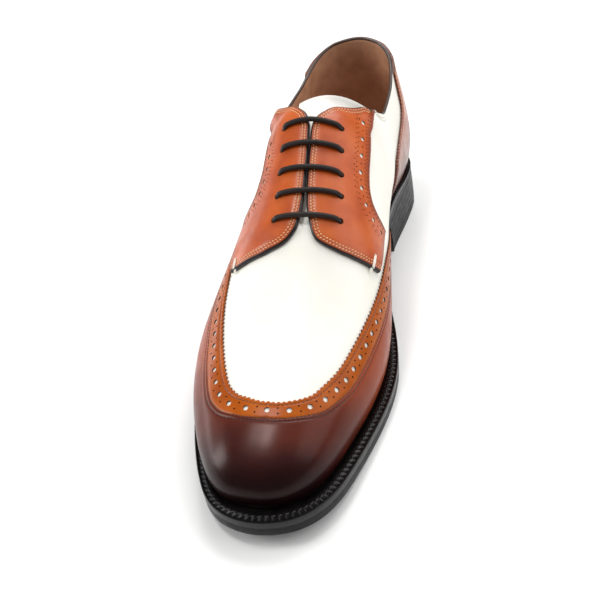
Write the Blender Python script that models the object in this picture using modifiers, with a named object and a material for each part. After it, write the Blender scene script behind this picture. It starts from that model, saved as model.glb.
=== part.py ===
"""Two-tone wingtip derby, right foot, built on one last function.

The toe points to -Y and the inner (medial) side of the foot to +X. Tables are in millimetres, with
"along" measured from the back of the heel to the toe; the meshes are made in metres.
"""
import bmesh
import bpy
import numpy as np

MM = 0.001
SHOE_CORE = (0.0, 130.0, 20.0)

# Sole and walls
SOLE_LENGTH = 303.0
TOE_TIP_X = 1.5
HEEL_BACK_X = 3.0
OUTSOLE_THICKNESS = 5.0
SEAT_HEIGHT = 9.5
SEAM_GAP = 0.3
HEEL_BREAST = 88.0
HEEL_SEARCH_START = 0.5
TOP_PIECE_THICKNESS = 6.0
INSOLE_TOP = 11.5
WELT_UNDERLAP = 3.0
UPPER_WALL = 2.0

# Overlays, tongue and lace
WING_GAP = 0.45
COUNTER_GAP = 0.75
OVERLAY_THICKNESS = 1.2
FACING_GAP = 0.6
FACING_THICKNESS = 1.8
TONGUE_GAP = 0.75
TONGUE_THICKNESS = 2.0
TONGUE_TOP_REACH = 11.0
TONGUE_HALF_TOP = 25.0
TONGUE_HALF_BASE = 18.0
TONGUE_RISE_HALF = 18.0
TONGUE_BASE_REACH = 12.0
TONGUE_ROUNDING = 9.0
LACE_RADIUS = 1.35
LACE_CLEARANCE = 0.3
LACE_POINTS = 9
LACE_BEVEL_STEPS = 2

# Top edge of the upper: rib parameter, height on the rib. It is slotted under the facings, and the collar
# starts at their back corners.
TOP_EDGE = [(0.0, 1.0), (0.450, 1.0), (0.485, 0.865), (0.655, 0.865), (0.686, 0.815),
            (0.715, 1.0), (1.0, 1.0)]
THROAT_START = 0.455
FACING_TOP_END = 0.6298

# One row for each rib of the last, from toe to heel. Columns:
# name, foot along | lateral: outline, ledge, bulge, rise | medial: outline, ledge, bulge, rise |
# top: along, middle, half width, height | reach of the shoulder, drop of the shoulder
RIBS = [
    ("toe_tip", 303.0, 0.0, 10.0, 3.0, 18.0, 0.0, 10.0, 3.0, 18.0, 236.0, 2.0, 0.0, 47.5, 34.0, 0.0),
    ("toe_corner", 296.5, 18.0, 7.5, 4.0, 18.0, 22.0, 10.0, 3.5, 18.0, 236.0, 2.0, 0.0, 47.5, 32.0, 0.0),
    ("toe_side", 284.0, 28.0, 5.5, 5.0, 19.0, 32.5, 9.5, 4.0, 18.0, 236.0, 2.0, 0.0, 47.5, 28.0, 0.0),
    ("toe_end", 263.0, 38.5, 4.5, 6.5, 21.0, 39.8, 8.5, 5.0, 18.0, 236.0, 2.0, 0.0, 47.5, 25.0, 0.0),
    ("tread", 234.0, 49.0, 4.0, 8.0, 26.0, 46.4, 8.0, 7.0, 21.0, 222.0, 2.0, 0.0, 52.5, 24.0, 0.0),
    ("ball", 200.0, 55.0, 4.5, 8.5, 30.0, 49.8, 7.5, 10.0, 27.0, 197.0, 2.0, 0.0, 65.0, 26.0, 0.0),
    ("throat", 168.0, 52.0, 5.0, 8.5, 34.0, 44.0, 7.0, 15.5, 33.0, 172.0, 1.5, 0.0, 81.0, 29.0, 0.0),
    ("waist", 137.0, 45.5, 5.0, 8.0, 37.0, 35.0, 6.0, 21.5, 38.0, 139.0, -1.5, 0.0, 97.0, 30.0, 0.0),
    ("instep", 110.0, 39.5, 5.0, 7.0, 41.0, 30.5, 5.0, 23.5, 42.0, 109.0, -4.0, 0.0, 109.5, 30.0, 0.0),
    ("facing_top", 96.0, 37.0, 4.5, 7.0, 40.0, 29.7, 4.5, 20.0, 38.0, 99.5, -3.0, 17.5, 106.0, 18.0, 8.5),
    ("collar_end", 82.0, 34.5, 4.0, 6.5, 35.5, 30.0, 4.0, 16.5, 36.5, 88.5, -1.5, 28.5, 96.0, 10.5, 14.5),
    ("heel_breast", 66.0, 32.5, 3.5, 6.0, 25.0, 32.0, 3.5, 10.0, 25.0, 73.0, -1.5, 30.0, 89.0, 3.0, 18.0),
    ("collar_low", 44.0, 32.0, 3.0, 5.0, 22.0, 34.5, 3.0, 6.0, 22.0, 48.0, -0.8, 28.8, 90.0, 3.0, 18.0),
    ("heel_side", 22.0, 27.5, 3.0, 5.0, 22.0, 33.0, 3.0, 5.0, 22.0, 22.0, 0.0, 24.0, 97.5, 3.0, 18.0),
    ("heel_round", 7.0, 15.0, 3.0, 5.0, 22.0, 20.5, 3.0, 5.0, 22.0, 10.0, 1.0, 13.5, 103.5, 3.0, 18.0),
    ("heel_back", 0.0, 0.0, 3.0, 5.0, 22.0, 0.0, 3.0, 5.0, 22.0, 7.0, 2.0, 0.0, 105.5, 3.0, 18.0),
]
RIB_COLUMNS = ["along", "outline-1", "ledge-1", "bulge-1", "rise-1", "outline1", "ledge1", "bulge1", "rise1",
               "top_along", "top_middle", "top_half", "top_height", "reach", "drop"]
FIRST_RIDGE_RIB = 3
LAST_RIDGE_RIB = 8
FULL_DROP = 18.0

# Underside of the outsole: along, height. The forefoot has a flat spot at height 0.
UNDERSIDE = [(0.0, 25.0), (40.0, 24.2), (72.0, 22.0), (105.0, 15.5), (135.0, 8.0), (165.0, 2.0), (192.0, 0.0),
             (222.0, 0.0), (250.0, 1.4), (280.0, 4.6), (303.0, 8.0)]

# Upper edge of the wing: rib parameter, height on the lateral rib, height on the medial rib
WING_EDGE = [(0.00, 0.790, 0.790), (0.06, 0.773, 0.773), (0.10, 0.742, 0.745), (0.15, 0.680, 0.700),
             (0.20, 0.635, 0.642), (0.25, 0.590, 0.562), (0.30, 0.556, 0.520), (0.36, 0.525, 0.474),
             (0.42, 0.500, 0.425), (0.48, 0.445, 0.370), (0.54, 0.330, 0.280), (0.60, 0.170, 0.150),
             (0.643, 0.050, 0.050)]
KNEE_FLOOR = 0.45
OVERLAY_FOOT = 0.025

# Front edge of the heel counter: height on the rib, rib parameter
COUNTER_EDGE = [(0.0, 0.735), (0.2, 0.724), (0.37, 0.733), (0.52, 0.765), (0.68, 0.815),
                (0.84, 0.850), (1.0, 0.868)]

# Facing outline, from the top of the throat round the flap's front to its lower tip, and down its back:
# lateral rib parameter, lateral height, medial rib parameter, medial height
FACING_FRONT = [(0.606, 0.984, 0.604, 0.960), (0.560, 0.990, 0.560, 0.971), (0.512, 0.987, 0.512, 0.973),
                (0.468, 0.983, 0.472, 0.960), (0.440, 0.950, 0.445, 0.935), (0.426, 0.867, 0.425, 0.883),
                (0.419, 0.780, 0.416, 0.790), (0.413, 0.690, 0.417, 0.690), (0.409, 0.610, 0.425, 0.575),
                (0.406, 0.555, 0.437, 0.460)]
FACING_BACK = [(0.690, 0.840, 0.686, 0.827), (0.655, 0.700, 0.653, 0.635), (0.615, 0.645, 0.612, 0.582),
               (0.577, 0.640, 0.577, 0.587), (0.545, 0.625, 0.550, 0.586), (0.524, 0.590, 0.532, 0.570),
               (0.516, 0.530, 0.524, 0.490), (0.512, 0.470, 0.529, 0.380)]

# Lace bars from the top down: lateral rib parameter, lateral height, medial rib parameter, medial height
LACE_BARS = [(0.596, 0.840, 0.599, 0.813), (0.565, 0.842, 0.568, 0.806), (0.528, 0.846, 0.532, 0.798),
             (0.493, 0.844, 0.500, 0.790), (0.457, 0.840, 0.464, 0.781)]

# Mesh density and sampling
NORMAL_STEP = 0.002
NORMAL_TOP = 0.985
WELD_DISTANCE = 1e-6
GRID_HALF = 0.5
CURVE_SAMPLES = 400
RIB_STEPS = 42
WING_ROWS = 6
UPPER_ROWS = 13
WING_STEPS = 26
COUNTER_STEPS = 16
COUNTER_ROWS = 9
FACING_STEPS = 18
FACING_ROWS = 9
TONGUE_STEPS = 14
TONGUE_ROWS = 10
SOLE_STEPS = 42
SOLE_ROWS = 2
HEEL_STEPS = 18
END_CROWDING = 0.4

# Colours (linear), roughness
WHITE = ((0.86, 0.85, 0.80), 0.45)
TAN = ((0.38, 0.11, 0.028), 0.35)
OXBLOOD = ((0.11, 0.022, 0.012), 0.25)
BLACK = ((0.012, 0.011, 0.011), 0.4)
LACE = ((0.02, 0.013, 0.011), 0.6)
LINING = ((0.36, 0.22, 0.12), 0.7)


def monotone_curve(places, values, level_ends=False):
    """Cubic through the points that never overshoots them, level at both ends if asked."""
    places = np.asarray(places, float)
    values = np.asarray(values, float)
    steps = np.diff(places)
    slopes = np.diff(values) / steps
    tangents = np.zeros_like(values)
    if not level_ends:
        tangents[0] = slopes[0]
        tangents[-1] = slopes[-1]
    for i in range(1, len(places) - 1):
        if slopes[i - 1] * slopes[i] > 0:
            before = 2 * steps[i] + steps[i - 1]
            after = steps[i] + 2 * steps[i - 1]
            tangents[i] = (before + after) / (before / slopes[i - 1] + after / slopes[i])
    return hermite(places, values, tangents)


def clamped_curve(places, values, start_slope, end_slope):
    """Smooth cubic spline through the points, with the slope given at both ends."""
    places = np.asarray(places, float)
    values = np.asarray(values, float)
    steps = np.diff(places)
    count = len(places)
    matrix = np.eye(count)
    right = np.zeros(count)
    right[0] = start_slope
    right[-1] = end_slope
    for i in range(1, count - 1):
        matrix[i, i - 1] = 1 / steps[i - 1]
        matrix[i, i] = 2 / steps[i - 1] + 2 / steps[i]
        matrix[i, i + 1] = 1 / steps[i]
        rise_before = (values[i] - values[i - 1]) / steps[i - 1] ** 2
        rise_after = (values[i + 1] - values[i]) / steps[i] ** 2
        right[i] = 3 * (rise_before + rise_after)
    return hermite(places, values, np.linalg.solve(matrix, right))


def hermite(places, values, tangents):
    """Piecewise cubic from values and slopes; asked with slope=True it gives its own slope."""
    steps = np.diff(places)

    def curve(query, slope=False):
        query = np.asarray(query, float)
        i = np.clip(np.searchsorted(places, query) - 1, 0, len(steps) - 1)
        s = (query - places[i]) / steps[i]
        if slope:
            rise = 6 * s * (1 - s) * (values[i + 1] - values[i]) / steps[i]
            return rise + tangents[i] * (1 - s) * (1 - 3 * s) + tangents[i + 1] * s * (3 * s - 2)
        start = values[i] * (1 + 2 * s) * (1 - s) ** 2
        end = values[i + 1] * s * s * (3 - 2 * s)
        bend = tangents[i] * s * (1 - s) ** 2 - tangents[i + 1] * s * s * (1 - s)
        return start + end + steps[i] * bend

    return curve


class Last:
    """The form of the foot: ribs from the seam at the welt up to the ridge or the collar.

    A point is named by its side (-1 lateral, 1 medial), its rib t (0 toe tip, 1 heel back) and its height v
    on that rib (0 at the welt, 1 at the top).
    """

    def __init__(self):
        table = {}
        for number, name in enumerate(RIB_COLUMNS):
            table[name] = np.array([row[1 + number] for row in RIBS])
        sides = {}
        for side in (-1, 1):
            across = side * table["outline%d" % side]
            across[0] = TOE_TIP_X
            across[-1] = HEEL_BACK_X
            sides[side] = np.stack([across, table["along"]], axis=1)
        chords = [np.linalg.norm(np.diff(sides[side], axis=0), axis=1) for side in (-1, 1)]
        lengths = np.concatenate([[0.0], np.cumsum(0.5 * (chords[0] + chords[1]))])
        girth = lengths[-1]
        self.t = lengths / girth
        self.outlines = {}
        for side in (-1, 1):
            across = clamped_curve(self.t, sides[side][:, 0], side * girth, -side * girth)
            along = clamped_curve(self.t, sides[side][:, 1], 0.0, 0.0)
            self.outlines[side] = (across, along)
        self.column = {}
        for name in RIB_COLUMNS:
            self.column[name] = monotone_curve(self.t, table[name], level_ends=name != "top_half")
        self.underside = monotone_curve([row[0] for row in UNDERSIDE], [row[1] for row in UNDERSIDE])
        ridge = slice(FIRST_RIDGE_RIB, LAST_RIDGE_RIB + 1)
        self.ridge_along = table["top_along"][ridge][::-1]
        self.ridge_height = monotone_curve(self.ridge_along, table["top_height"][ridge][::-1])

    def outline(self, side, t, inset):
        """Plan point of the sole's edge, moved in by the inset, and the inward direction."""
        across, along = self.outlines[side]
        run_x = across(t, slope=True)
        run_y = along(t, slope=True)
        length = np.hypot(run_x, run_y)
        inward = np.stack([side * run_y / length, -side * run_x / length], axis=-1)
        point = np.stack([across(t), along(t)], axis=-1)
        return point + inward * np.asarray(inset)[..., None], inward

    def bottom(self, along):
        return self.underside(np.clip(along, 0.0, SOLE_LENGTH))

    def ridge_slope(self, t):
        reach = 1.0
        low = self.ridge_along[0] + reach
        high = self.ridge_along[-1] - reach
        along = np.clip(self.column["top_along"](t), low, high)
        return (self.ridge_height(along + reach) - self.ridge_height(along - reach)) / (2 * reach)

    def point(self, side, t, v):
        """Point of the last: a cubic rib with a bulge over the welt and a level shoulder at the ridge."""
        t, v = np.broadcast_arrays(np.asarray(t, float), np.asarray(v, float))
        column = self.column
        plan, inward = self.outline(side, t, column["ledge%d" % side](t))
        foot = np.stack([plan[..., 0], plan[..., 1], self.bottom(plan[..., 1]) + SEAT_HEIGHT], axis=-1)
        top_x = column["top_middle"](t) + side * column["top_half"](t)
        top = np.stack([top_x, column["top_along"](t), column["top_height"](t)], axis=-1)
        bulge = column["bulge%d" % side](t)[..., None]
        rise = column["rise%d" % side](t)[..., None]
        side_wall = foot + np.concatenate([-inward * bulge, rise], axis=-1)
        away = foot[..., :2] - top[..., :2]
        away = away / np.linalg.norm(away, axis=-1, keepdims=True) * column["reach"](t)[..., None]
        drop = column["drop"](t)
        fall = self.ridge_slope(t) * away[..., 1] * (1 - np.clip(drop / FULL_DROP, 0, 1)) - drop
        shoulder = top + np.concatenate([away, fall[..., None]], axis=-1)
        v = v[..., None]
        w = 1 - v
        return w ** 3 * foot + 3 * w * w * v * side_wall + 3 * w * v * v * shoulder + v ** 3 * top

    def normal(self, side, t, v):
        t, v = np.broadcast_arrays(np.asarray(t, float), np.asarray(v, float))
        t = np.clip(t, NORMAL_STEP, 1 - NORMAL_STEP)
        v = np.clip(v, NORMAL_STEP, NORMAL_TOP)
        along = self.point(side, t + NORMAL_STEP, v) - self.point(side, t - NORMAL_STEP, v)
        up = self.point(side, t, v + NORMAL_STEP) - self.point(side, t, v - NORMAL_STEP)
        normal = -side * np.cross(along, up)
        return normal / np.linalg.norm(normal, axis=-1, keepdims=True)

    def skin(self, side, t, v, offset):
        """Point at a distance outside the last (inside where the offset is negative)."""
        return self.point(side, t, v) + self.normal(side, t, v) * offset


def to_world(point):
    """Table coordinates (across, along, height in mm) to metres with the toe to -Y."""
    return (point[0] * MM, -point[1] * MM, point[2] * MM)


def finish(name, mesh_builder, look, collection, root):
    """Wrap a finished bmesh as a named object with its material."""
    mesh = bpy.data.meshes.new(name)
    mesh_builder.to_mesh(mesh)
    mesh_builder.free()
    part = bpy.data.objects.new(name, mesh)
    add_part(part, look, collection, root)
    return part


def add_part(part, look, collection, root):
    """Give the object its material, collection and parent."""
    colour, roughness = look
    material = bpy.data.materials.new(part.name)
    material.use_nodes = True
    shader = material.node_tree.nodes["Principled BSDF"]
    shader.inputs["Base Color"].default_value = (*colour, 1.0)
    shader.inputs["Roughness"].default_value = roughness
    shader.inputs["Metallic"].default_value = 0.0
    part.data.materials.append(material)
    part.parent = root
    collection.objects.link(part)


def mapped_grid(columns, rows, place):
    """A grid whose vertices are moved to place(a, b), with a and b running from 0 to 1, then welded."""
    builder = bmesh.new()
    bmesh.ops.create_grid(builder, x_segments=columns, y_segments=rows, size=GRID_HALF)
    corners = np.array([vertex.co[:2] for vertex in builder.verts]) + GRID_HALF
    points = place(corners[:, 0], corners[:, 1])
    for vertex, point in zip(builder.verts, points):
        vertex.co = to_world(point)
    bmesh.ops.remove_doubles(builder, verts=builder.verts, dist=WELD_DISTANCE)
    bmesh.ops.dissolve_degenerate(builder, edges=builder.edges, dist=WELD_DISTANCE)
    return builder


def face_outward(builder):
    """Turn an open sheet so that its normals point out of the shoe."""
    bmesh.ops.recalc_face_normals(builder, faces=builder.faces)
    middle = np.array(to_world(SHOE_CORE))
    outward = 0.0
    for face in builder.faces:
        spoke = np.array(face.calc_center_median()) - middle
        outward += float(np.dot(spoke, face.normal)) * face.calc_area()
    if outward < 0:
        bmesh.ops.reverse_faces(builder, faces=builder.faces)


def thicken(part, thickness, side):
    """Solidify outward (side 1) or inward (side -1) from the sheet."""
    shell = part.modifiers.new("wall", "SOLIDIFY")
    shell.thickness = thickness * MM
    shell.offset = side


def crowded(share):
    """Rib parameter for a share of the way round, with ribs closer together at the toe and the heel."""
    return share - END_CROWDING * np.sin(2 * np.pi * share) / (2 * np.pi)


def wing_edge(side, t):
    column = 1 if side < 0 else 2
    return monotone_curve([row[0] for row in WING_EDGE], [row[column] for row in WING_EDGE])(t)


def upper_heights(side, t, b):
    """Rows of the upper: first up to the wing's edge, then up to the ridge, throat or collar."""
    knee = np.maximum(wing_edge(side, np.minimum(t, WING_EDGE[-1][0])), KNEE_FLOOR)
    top = monotone_curve([row[0] for row in TOP_EDGE], [row[1] for row in TOP_EDGE])(t)
    row = b * UPPER_ROWS
    stops = [0.0, 1.0, 1.0 + WING_ROWS, float(UPPER_ROWS)]
    foot = OVERLAY_FOOT * row
    lower = OVERLAY_FOOT + (knee - OVERLAY_FOOT) * (row - stops[1]) / (stops[2] - stops[1])
    higher = knee + (top - knee) * (row - stops[2]) / (stops[3] - stops[2])
    return np.where(row <= stops[1], foot, np.where(row <= stops[2], lower, higher))


def make_upper(last, collection, root):
    """One hollow wall, open underneath, at the collar and along the throat."""
    def place(a, b):
        u = 2 * a - 1
        t = crowded(np.abs(u))
        lateral = last.point(-1, t, upper_heights(-1, t, b))
        medial = last.point(1, t, upper_heights(1, t, b))
        return np.where((u < 0)[:, None], lateral, medial)

    builder = mapped_grid(2 * RIB_STEPS, UPPER_ROWS, place)
    face_outward(builder)
    upper = finish("upper", builder, WHITE, collection, root)
    thicken(upper, UPPER_WALL, -1)


def make_wing_cap(last, collection, root):
    """The wing over the toe and along both sides, lying on the upper."""
    reach = WING_STEPS / RIB_STEPS

    def place(a, b):
        u = (2 * a - 1) * reach
        t = crowded(np.abs(u))
        sides = []
        for side in (-1, 1):
            v = OVERLAY_FOOT + b * (wing_edge(side, t) - OVERLAY_FOOT)
            sides.append(last.skin(side, t, v, WING_GAP))
        return np.where((u < 0)[:, None], sides[0], sides[1])

    builder = mapped_grid(2 * WING_STEPS, WING_ROWS, place)
    face_outward(builder)
    wing = finish("wing_cap", builder, OXBLOOD, collection, root)
    thicken(wing, OVERLAY_THICKNESS, 1)


def make_heel_counter(last, collection, root):
    """The panel round the back of the heel, from its front edge on one side to the other."""
    edge = monotone_curve([row[0] for row in COUNTER_EDGE], [row[1] for row in COUNTER_EDGE])

    def place(a, b):
        u = 2 * a - 1
        v = OVERLAY_FOOT + b * (1 - OVERLAY_FOOT)
        t = 1 - np.abs(u) * (1 - edge(v))
        lateral = last.skin(-1, t, v, COUNTER_GAP)
        medial = last.skin(1, t, v, COUNTER_GAP)
        return np.where((u < 0)[:, None], lateral, medial)

    builder = mapped_grid(2 * COUNTER_STEPS, COUNTER_ROWS, place)
    face_outward(builder)
    counter = finish("heel_counter", builder, TAN, collection, root)
    thicken(counter, OVERLAY_THICKNESS, 1)


def facing_point(last, side, a, b, offset):
    """Point of a facing: a from the throat's top to the lower tip, b from the front to the back edge."""
    first = 0 if side < 0 else 2
    edges = []
    for table in (FACING_FRONT, FACING_BACK):
        steps = np.linspace(0, 1, len(table))
        t = monotone_curve(steps, [row[first] for row in table])(a)
        v = monotone_curve(steps, [row[first + 1] for row in table])(a)
        edges.append((t, v))
    t = edges[0][0] * (1 - b) + edges[1][0] * b
    v = edges[0][1] * (1 - b) + edges[1][1] * b
    return last.skin(side, t, v, offset)


def make_facing(name, last, side, collection, root):
    """A lace flap lying over the quarter and the vamp, its front edge free over the tongue."""
    def place(a, b):
        return facing_point(last, side, a, b, FACING_GAP)

    builder = mapped_grid(FACING_STEPS, FACING_ROWS, place)
    face_outward(builder)
    facing = finish(name, builder, TAN, collection, root)
    thicken(facing, FACING_THICKNESS, 1)


def tongue_point(last, along, across, offset):
    """Point under the throat; past its top the middle goes on rising and the sides stay low."""
    ridge_t = np.linspace(last.t[FIRST_RIDGE_RIB], FACING_TOP_END, CURVE_SAMPLES)
    ridge_along = last.column["top_along"](ridge_t)
    t = np.interp(-np.maximum(along, ridge_along[-1]), -ridge_along, ridge_t)
    past = np.maximum(ridge_along[-1] - along, 0.0)[:, None]
    v = 1 - np.abs(across) / (3 * last.column["reach"](t))
    lateral = last.skin(-1, t, v, offset)
    medial = last.skin(1, t, v, offset)
    point = np.where((across < 0)[:, None], lateral, medial)
    spread = np.clip(np.abs(across) / TONGUE_RISE_HALF, 0, 1)
    rise = -last.ridge_slope(t) * np.cos(0.5 * np.pi * spread) ** 2
    return point + past * np.stack([0 * rise, 0 * rise - 1, rise], axis=1)


def make_tongue(last, collection, root):
    """The tongue under the facings, rounded at its top edge."""
    top_along = last.ridge_along[0] - TONGUE_TOP_REACH
    base_along = last.column["top_along"](np.array(THROAT_START)) + TONGUE_BASE_REACH

    def place(a, b):
        across = 2 * a - 1
        half = TONGUE_HALF_TOP + (TONGUE_HALF_BASE - TONGUE_HALF_TOP) * b
        rounded = top_along + TONGUE_ROUNDING * across ** 4
        along = rounded + (base_along - rounded) * b
        return tongue_point(last, along, across * half, -UPPER_WALL - TONGUE_GAP)

    builder = mapped_grid(TONGUE_ROWS, TONGUE_STEPS, place)
    face_outward(builder)
    tongue = finish("tongue", builder, WHITE, collection, root)
    thicken(tongue, TONGUE_THICKNESS, -1)


def make_lace_bars(last, collection, root):
    """Five straight bars of round lace lying across the facings."""
    offset = FACING_GAP + FACING_THICKNESS + LACE_CLEARANCE + LACE_RADIUS
    for number, (lateral_t, lateral_v, medial_t, medial_v) in enumerate(LACE_BARS, start=1):
        points = []
        for step in np.linspace(-1, 1, LACE_POINTS):
            share = (step + 1) / 2
            t = lateral_t + (medial_t - lateral_t) * share
            side = -1 if step < 0 else 1
            end = lateral_v if step < 0 else medial_v
            points.append(last.skin(side, t, 1 - abs(step) * (1 - end), offset))
        name = "lace_bar_%d" % number
        curve = bpy.data.curves.new(name, "CURVE")
        curve.dimensions = "3D"
        curve.bevel_depth = LACE_RADIUS * MM
        curve.bevel_resolution = LACE_BEVEL_STEPS
        curve.use_fill_caps = True
        spline = curve.splines.new("POLY")
        spline.points.add(len(points) - 1)
        for target, point in zip(spline.points, points):
            target.co = (*to_world(point), 1.0)
        add_part(bpy.data.objects.new(name, curve), LACE, collection, root)


def make_slab(name, columns, rows, place, low, high, look, collection, root):
    """A plan sheet raised between two heights that follow the sole's own curve."""
    def lowered(a, b):
        plan = place(a, b)
        return np.concatenate([plan, low(plan[:, 1])[:, None]], axis=1)

    builder = mapped_grid(columns, rows, lowered)
    raised = bmesh.ops.extrude_face_region(builder, geom=list(builder.faces))
    for item in raised["geom"]:
        if isinstance(item, bmesh.types.BMVert):
            item.co.z = float(high(np.array(-item.co.y / MM))) * MM
    bmesh.ops.recalc_face_normals(builder, faces=builder.faces)
    finish(name, builder, look, collection, root)


def sole_plan(last, inset):
    """Plan of a whole sole layer, from toe to heel and from the lateral to the medial edge."""
    def place(a, b):
        lateral, _ = last.outline(-1, a, inset(-1, a))
        medial, _ = last.outline(1, a, inset(1, a))
        return lateral * (1 - b)[:, None] + medial * b[:, None]

    return place


def heel_plan(last):
    """Plan of the heel: the sole's edge behind the breast line."""
    fine = np.linspace(HEEL_SEARCH_START, 1.0, CURVE_SAMPLES)
    starts = {}
    for side in (-1, 1):
        along = last.outline(side, fine, np.zeros_like(fine))[0][:, 1]
        starts[side] = np.interp(-HEEL_BREAST, -along, fine)

    def place(a, b):
        edges = []
        for side in (-1, 1):
            t = starts[side] + (1 - starts[side]) * a
            edges.append(last.outline(side, t, np.zeros_like(t))[0])
        return edges[0] * (1 - b)[:, None] + edges[1] * b[:, None]

    return place


def make_sole_unit(last, collection, root):
    """Outsole, welt, insole and heel."""
    def feather_inset(side, t):
        return last.column["ledge%d" % side](t) + WELT_UNDERLAP + SEAM_GAP

    def flush(side, t):
        return np.zeros_like(t)

    def layer(height):
        return lambda along: last.bottom(along) + height

    def level(height):
        return lambda along: np.zeros_like(along) + height

    def welt_plan(a, b):
        u = 2 * a - 1
        t = np.abs(u)
        edges = []
        for side in (-1, 1):
            inset = b * (last.column["ledge%d" % side](t) + WELT_UNDERLAP)
            edges.append(last.outline(side, t, inset)[0])
        return np.where((u < 0)[:, None], edges[0], edges[1])

    make_slab("outsole", SOLE_STEPS, SOLE_ROWS, sole_plan(last, flush), layer(0.0), layer(OUTSOLE_THICKNESS),
              BLACK, collection, root)
    make_slab("welt", 2 * SOLE_STEPS, 1, welt_plan, layer(OUTSOLE_THICKNESS + SEAM_GAP),
              layer(SEAT_HEIGHT - SEAM_GAP), BLACK, collection, root)
    make_slab("insole", SOLE_STEPS, SOLE_ROWS, sole_plan(last, feather_inset),
              layer(OUTSOLE_THICKNESS + SEAM_GAP), layer(INSOLE_TOP), LINING, collection, root)
    make_slab("heel_stack", HEEL_STEPS, SOLE_ROWS, heel_plan(last), level(TOP_PIECE_THICKNESS),
              layer(-SEAM_GAP), BLACK, collection, root)
    make_slab("heel_top_piece", HEEL_STEPS, SOLE_ROWS, heel_plan(last), level(0.0),
              level(TOP_PIECE_THICKNESS - SEAM_GAP), BLACK, collection, root)


def stand_on_origin(collection, root):
    """Move the parent so that the shoe's box stands on the origin, centred over it."""
    bpy.context.view_layer.update()
    depsgraph = bpy.context.evaluated_depsgraph_get()
    corners = []
    for part in collection.objects:
        if part.type == "EMPTY":
            continue
        solid = part.evaluated_get(depsgraph)
        mesh = solid.to_mesh()
        corners.extend(solid.matrix_world @ vertex.co for vertex in mesh.vertices)
        solid.to_mesh_clear()
    corners = np.array(corners)
    low = corners.min(axis=0)
    high = corners.max(axis=0)
    root.location = (-(low[0] + high[0]) / 2, -(low[1] + high[1]) / 2, -low[2])


def main():
    for leftover in list(bpy.data.objects):
        bpy.data.objects.remove(leftover)
    collection = bpy.data.collections.new("wingtip_derby")
    bpy.context.scene.collection.children.link(collection)
    root = bpy.data.objects.new("shoe_root", None)
    collection.objects.link(root)

    last = Last()
    make_sole_unit(last, collection, root)
    make_upper(last, collection, root)
    make_tongue(last, collection, root)
    make_wing_cap(last, collection, root)
    make_heel_counter(last, collection, root)
    make_facing("facing_lateral", last, -1, collection, root)
    make_facing("facing_medial", last, 1, collection, root)
    make_lace_bars(last, collection, root)
    stand_on_origin(collection, root)


main()
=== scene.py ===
"""Looks of the two-tone wingtip derby, laid on the same last as its solids.

Tables are in millimetres: across, along from the back of the heel to the toe, and height. A place on the
upper is named by its side (-1 lateral, 1 medial), its rib t (0 toe tip, 1 heel back) and its height v there.
"""

import bmesh
import bpy
import numpy as np
from mathutils import Matrix, Vector
from mathutils.bvhtree import BVHTree


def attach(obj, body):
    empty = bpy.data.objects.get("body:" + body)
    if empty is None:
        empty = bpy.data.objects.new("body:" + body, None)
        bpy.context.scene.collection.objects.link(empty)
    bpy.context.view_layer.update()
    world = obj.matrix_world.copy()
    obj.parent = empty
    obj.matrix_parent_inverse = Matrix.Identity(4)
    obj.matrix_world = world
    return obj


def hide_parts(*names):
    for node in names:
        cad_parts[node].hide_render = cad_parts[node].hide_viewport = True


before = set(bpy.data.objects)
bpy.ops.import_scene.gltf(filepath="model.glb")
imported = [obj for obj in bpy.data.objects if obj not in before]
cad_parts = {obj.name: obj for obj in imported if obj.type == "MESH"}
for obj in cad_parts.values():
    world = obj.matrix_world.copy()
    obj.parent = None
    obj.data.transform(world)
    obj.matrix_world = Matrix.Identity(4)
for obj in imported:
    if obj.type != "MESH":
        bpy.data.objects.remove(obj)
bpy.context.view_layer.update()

MM = 0.001
MIRROR = np.array([1.0, -1.0, 1.0])

# Sole and walls
SOLE_LENGTH = 303.0
TOE_TIP_X = 1.5
HEEL_BACK_X = 3.0
OUTSOLE_THICKNESS = 5.0
SEAT_HEIGHT = 9.5
SEAM_GAP = 0.3
HEEL_BREAST = 88.0
HEEL_FLARE = 1.4
HEEL_SEARCH_START = 0.5
TOP_PIECE_THICKNESS = 6.0
INSOLE_TOP = 11.5
WELT_UNDERLAP = 3.0
UPPER_WALL = 2.0

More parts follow.
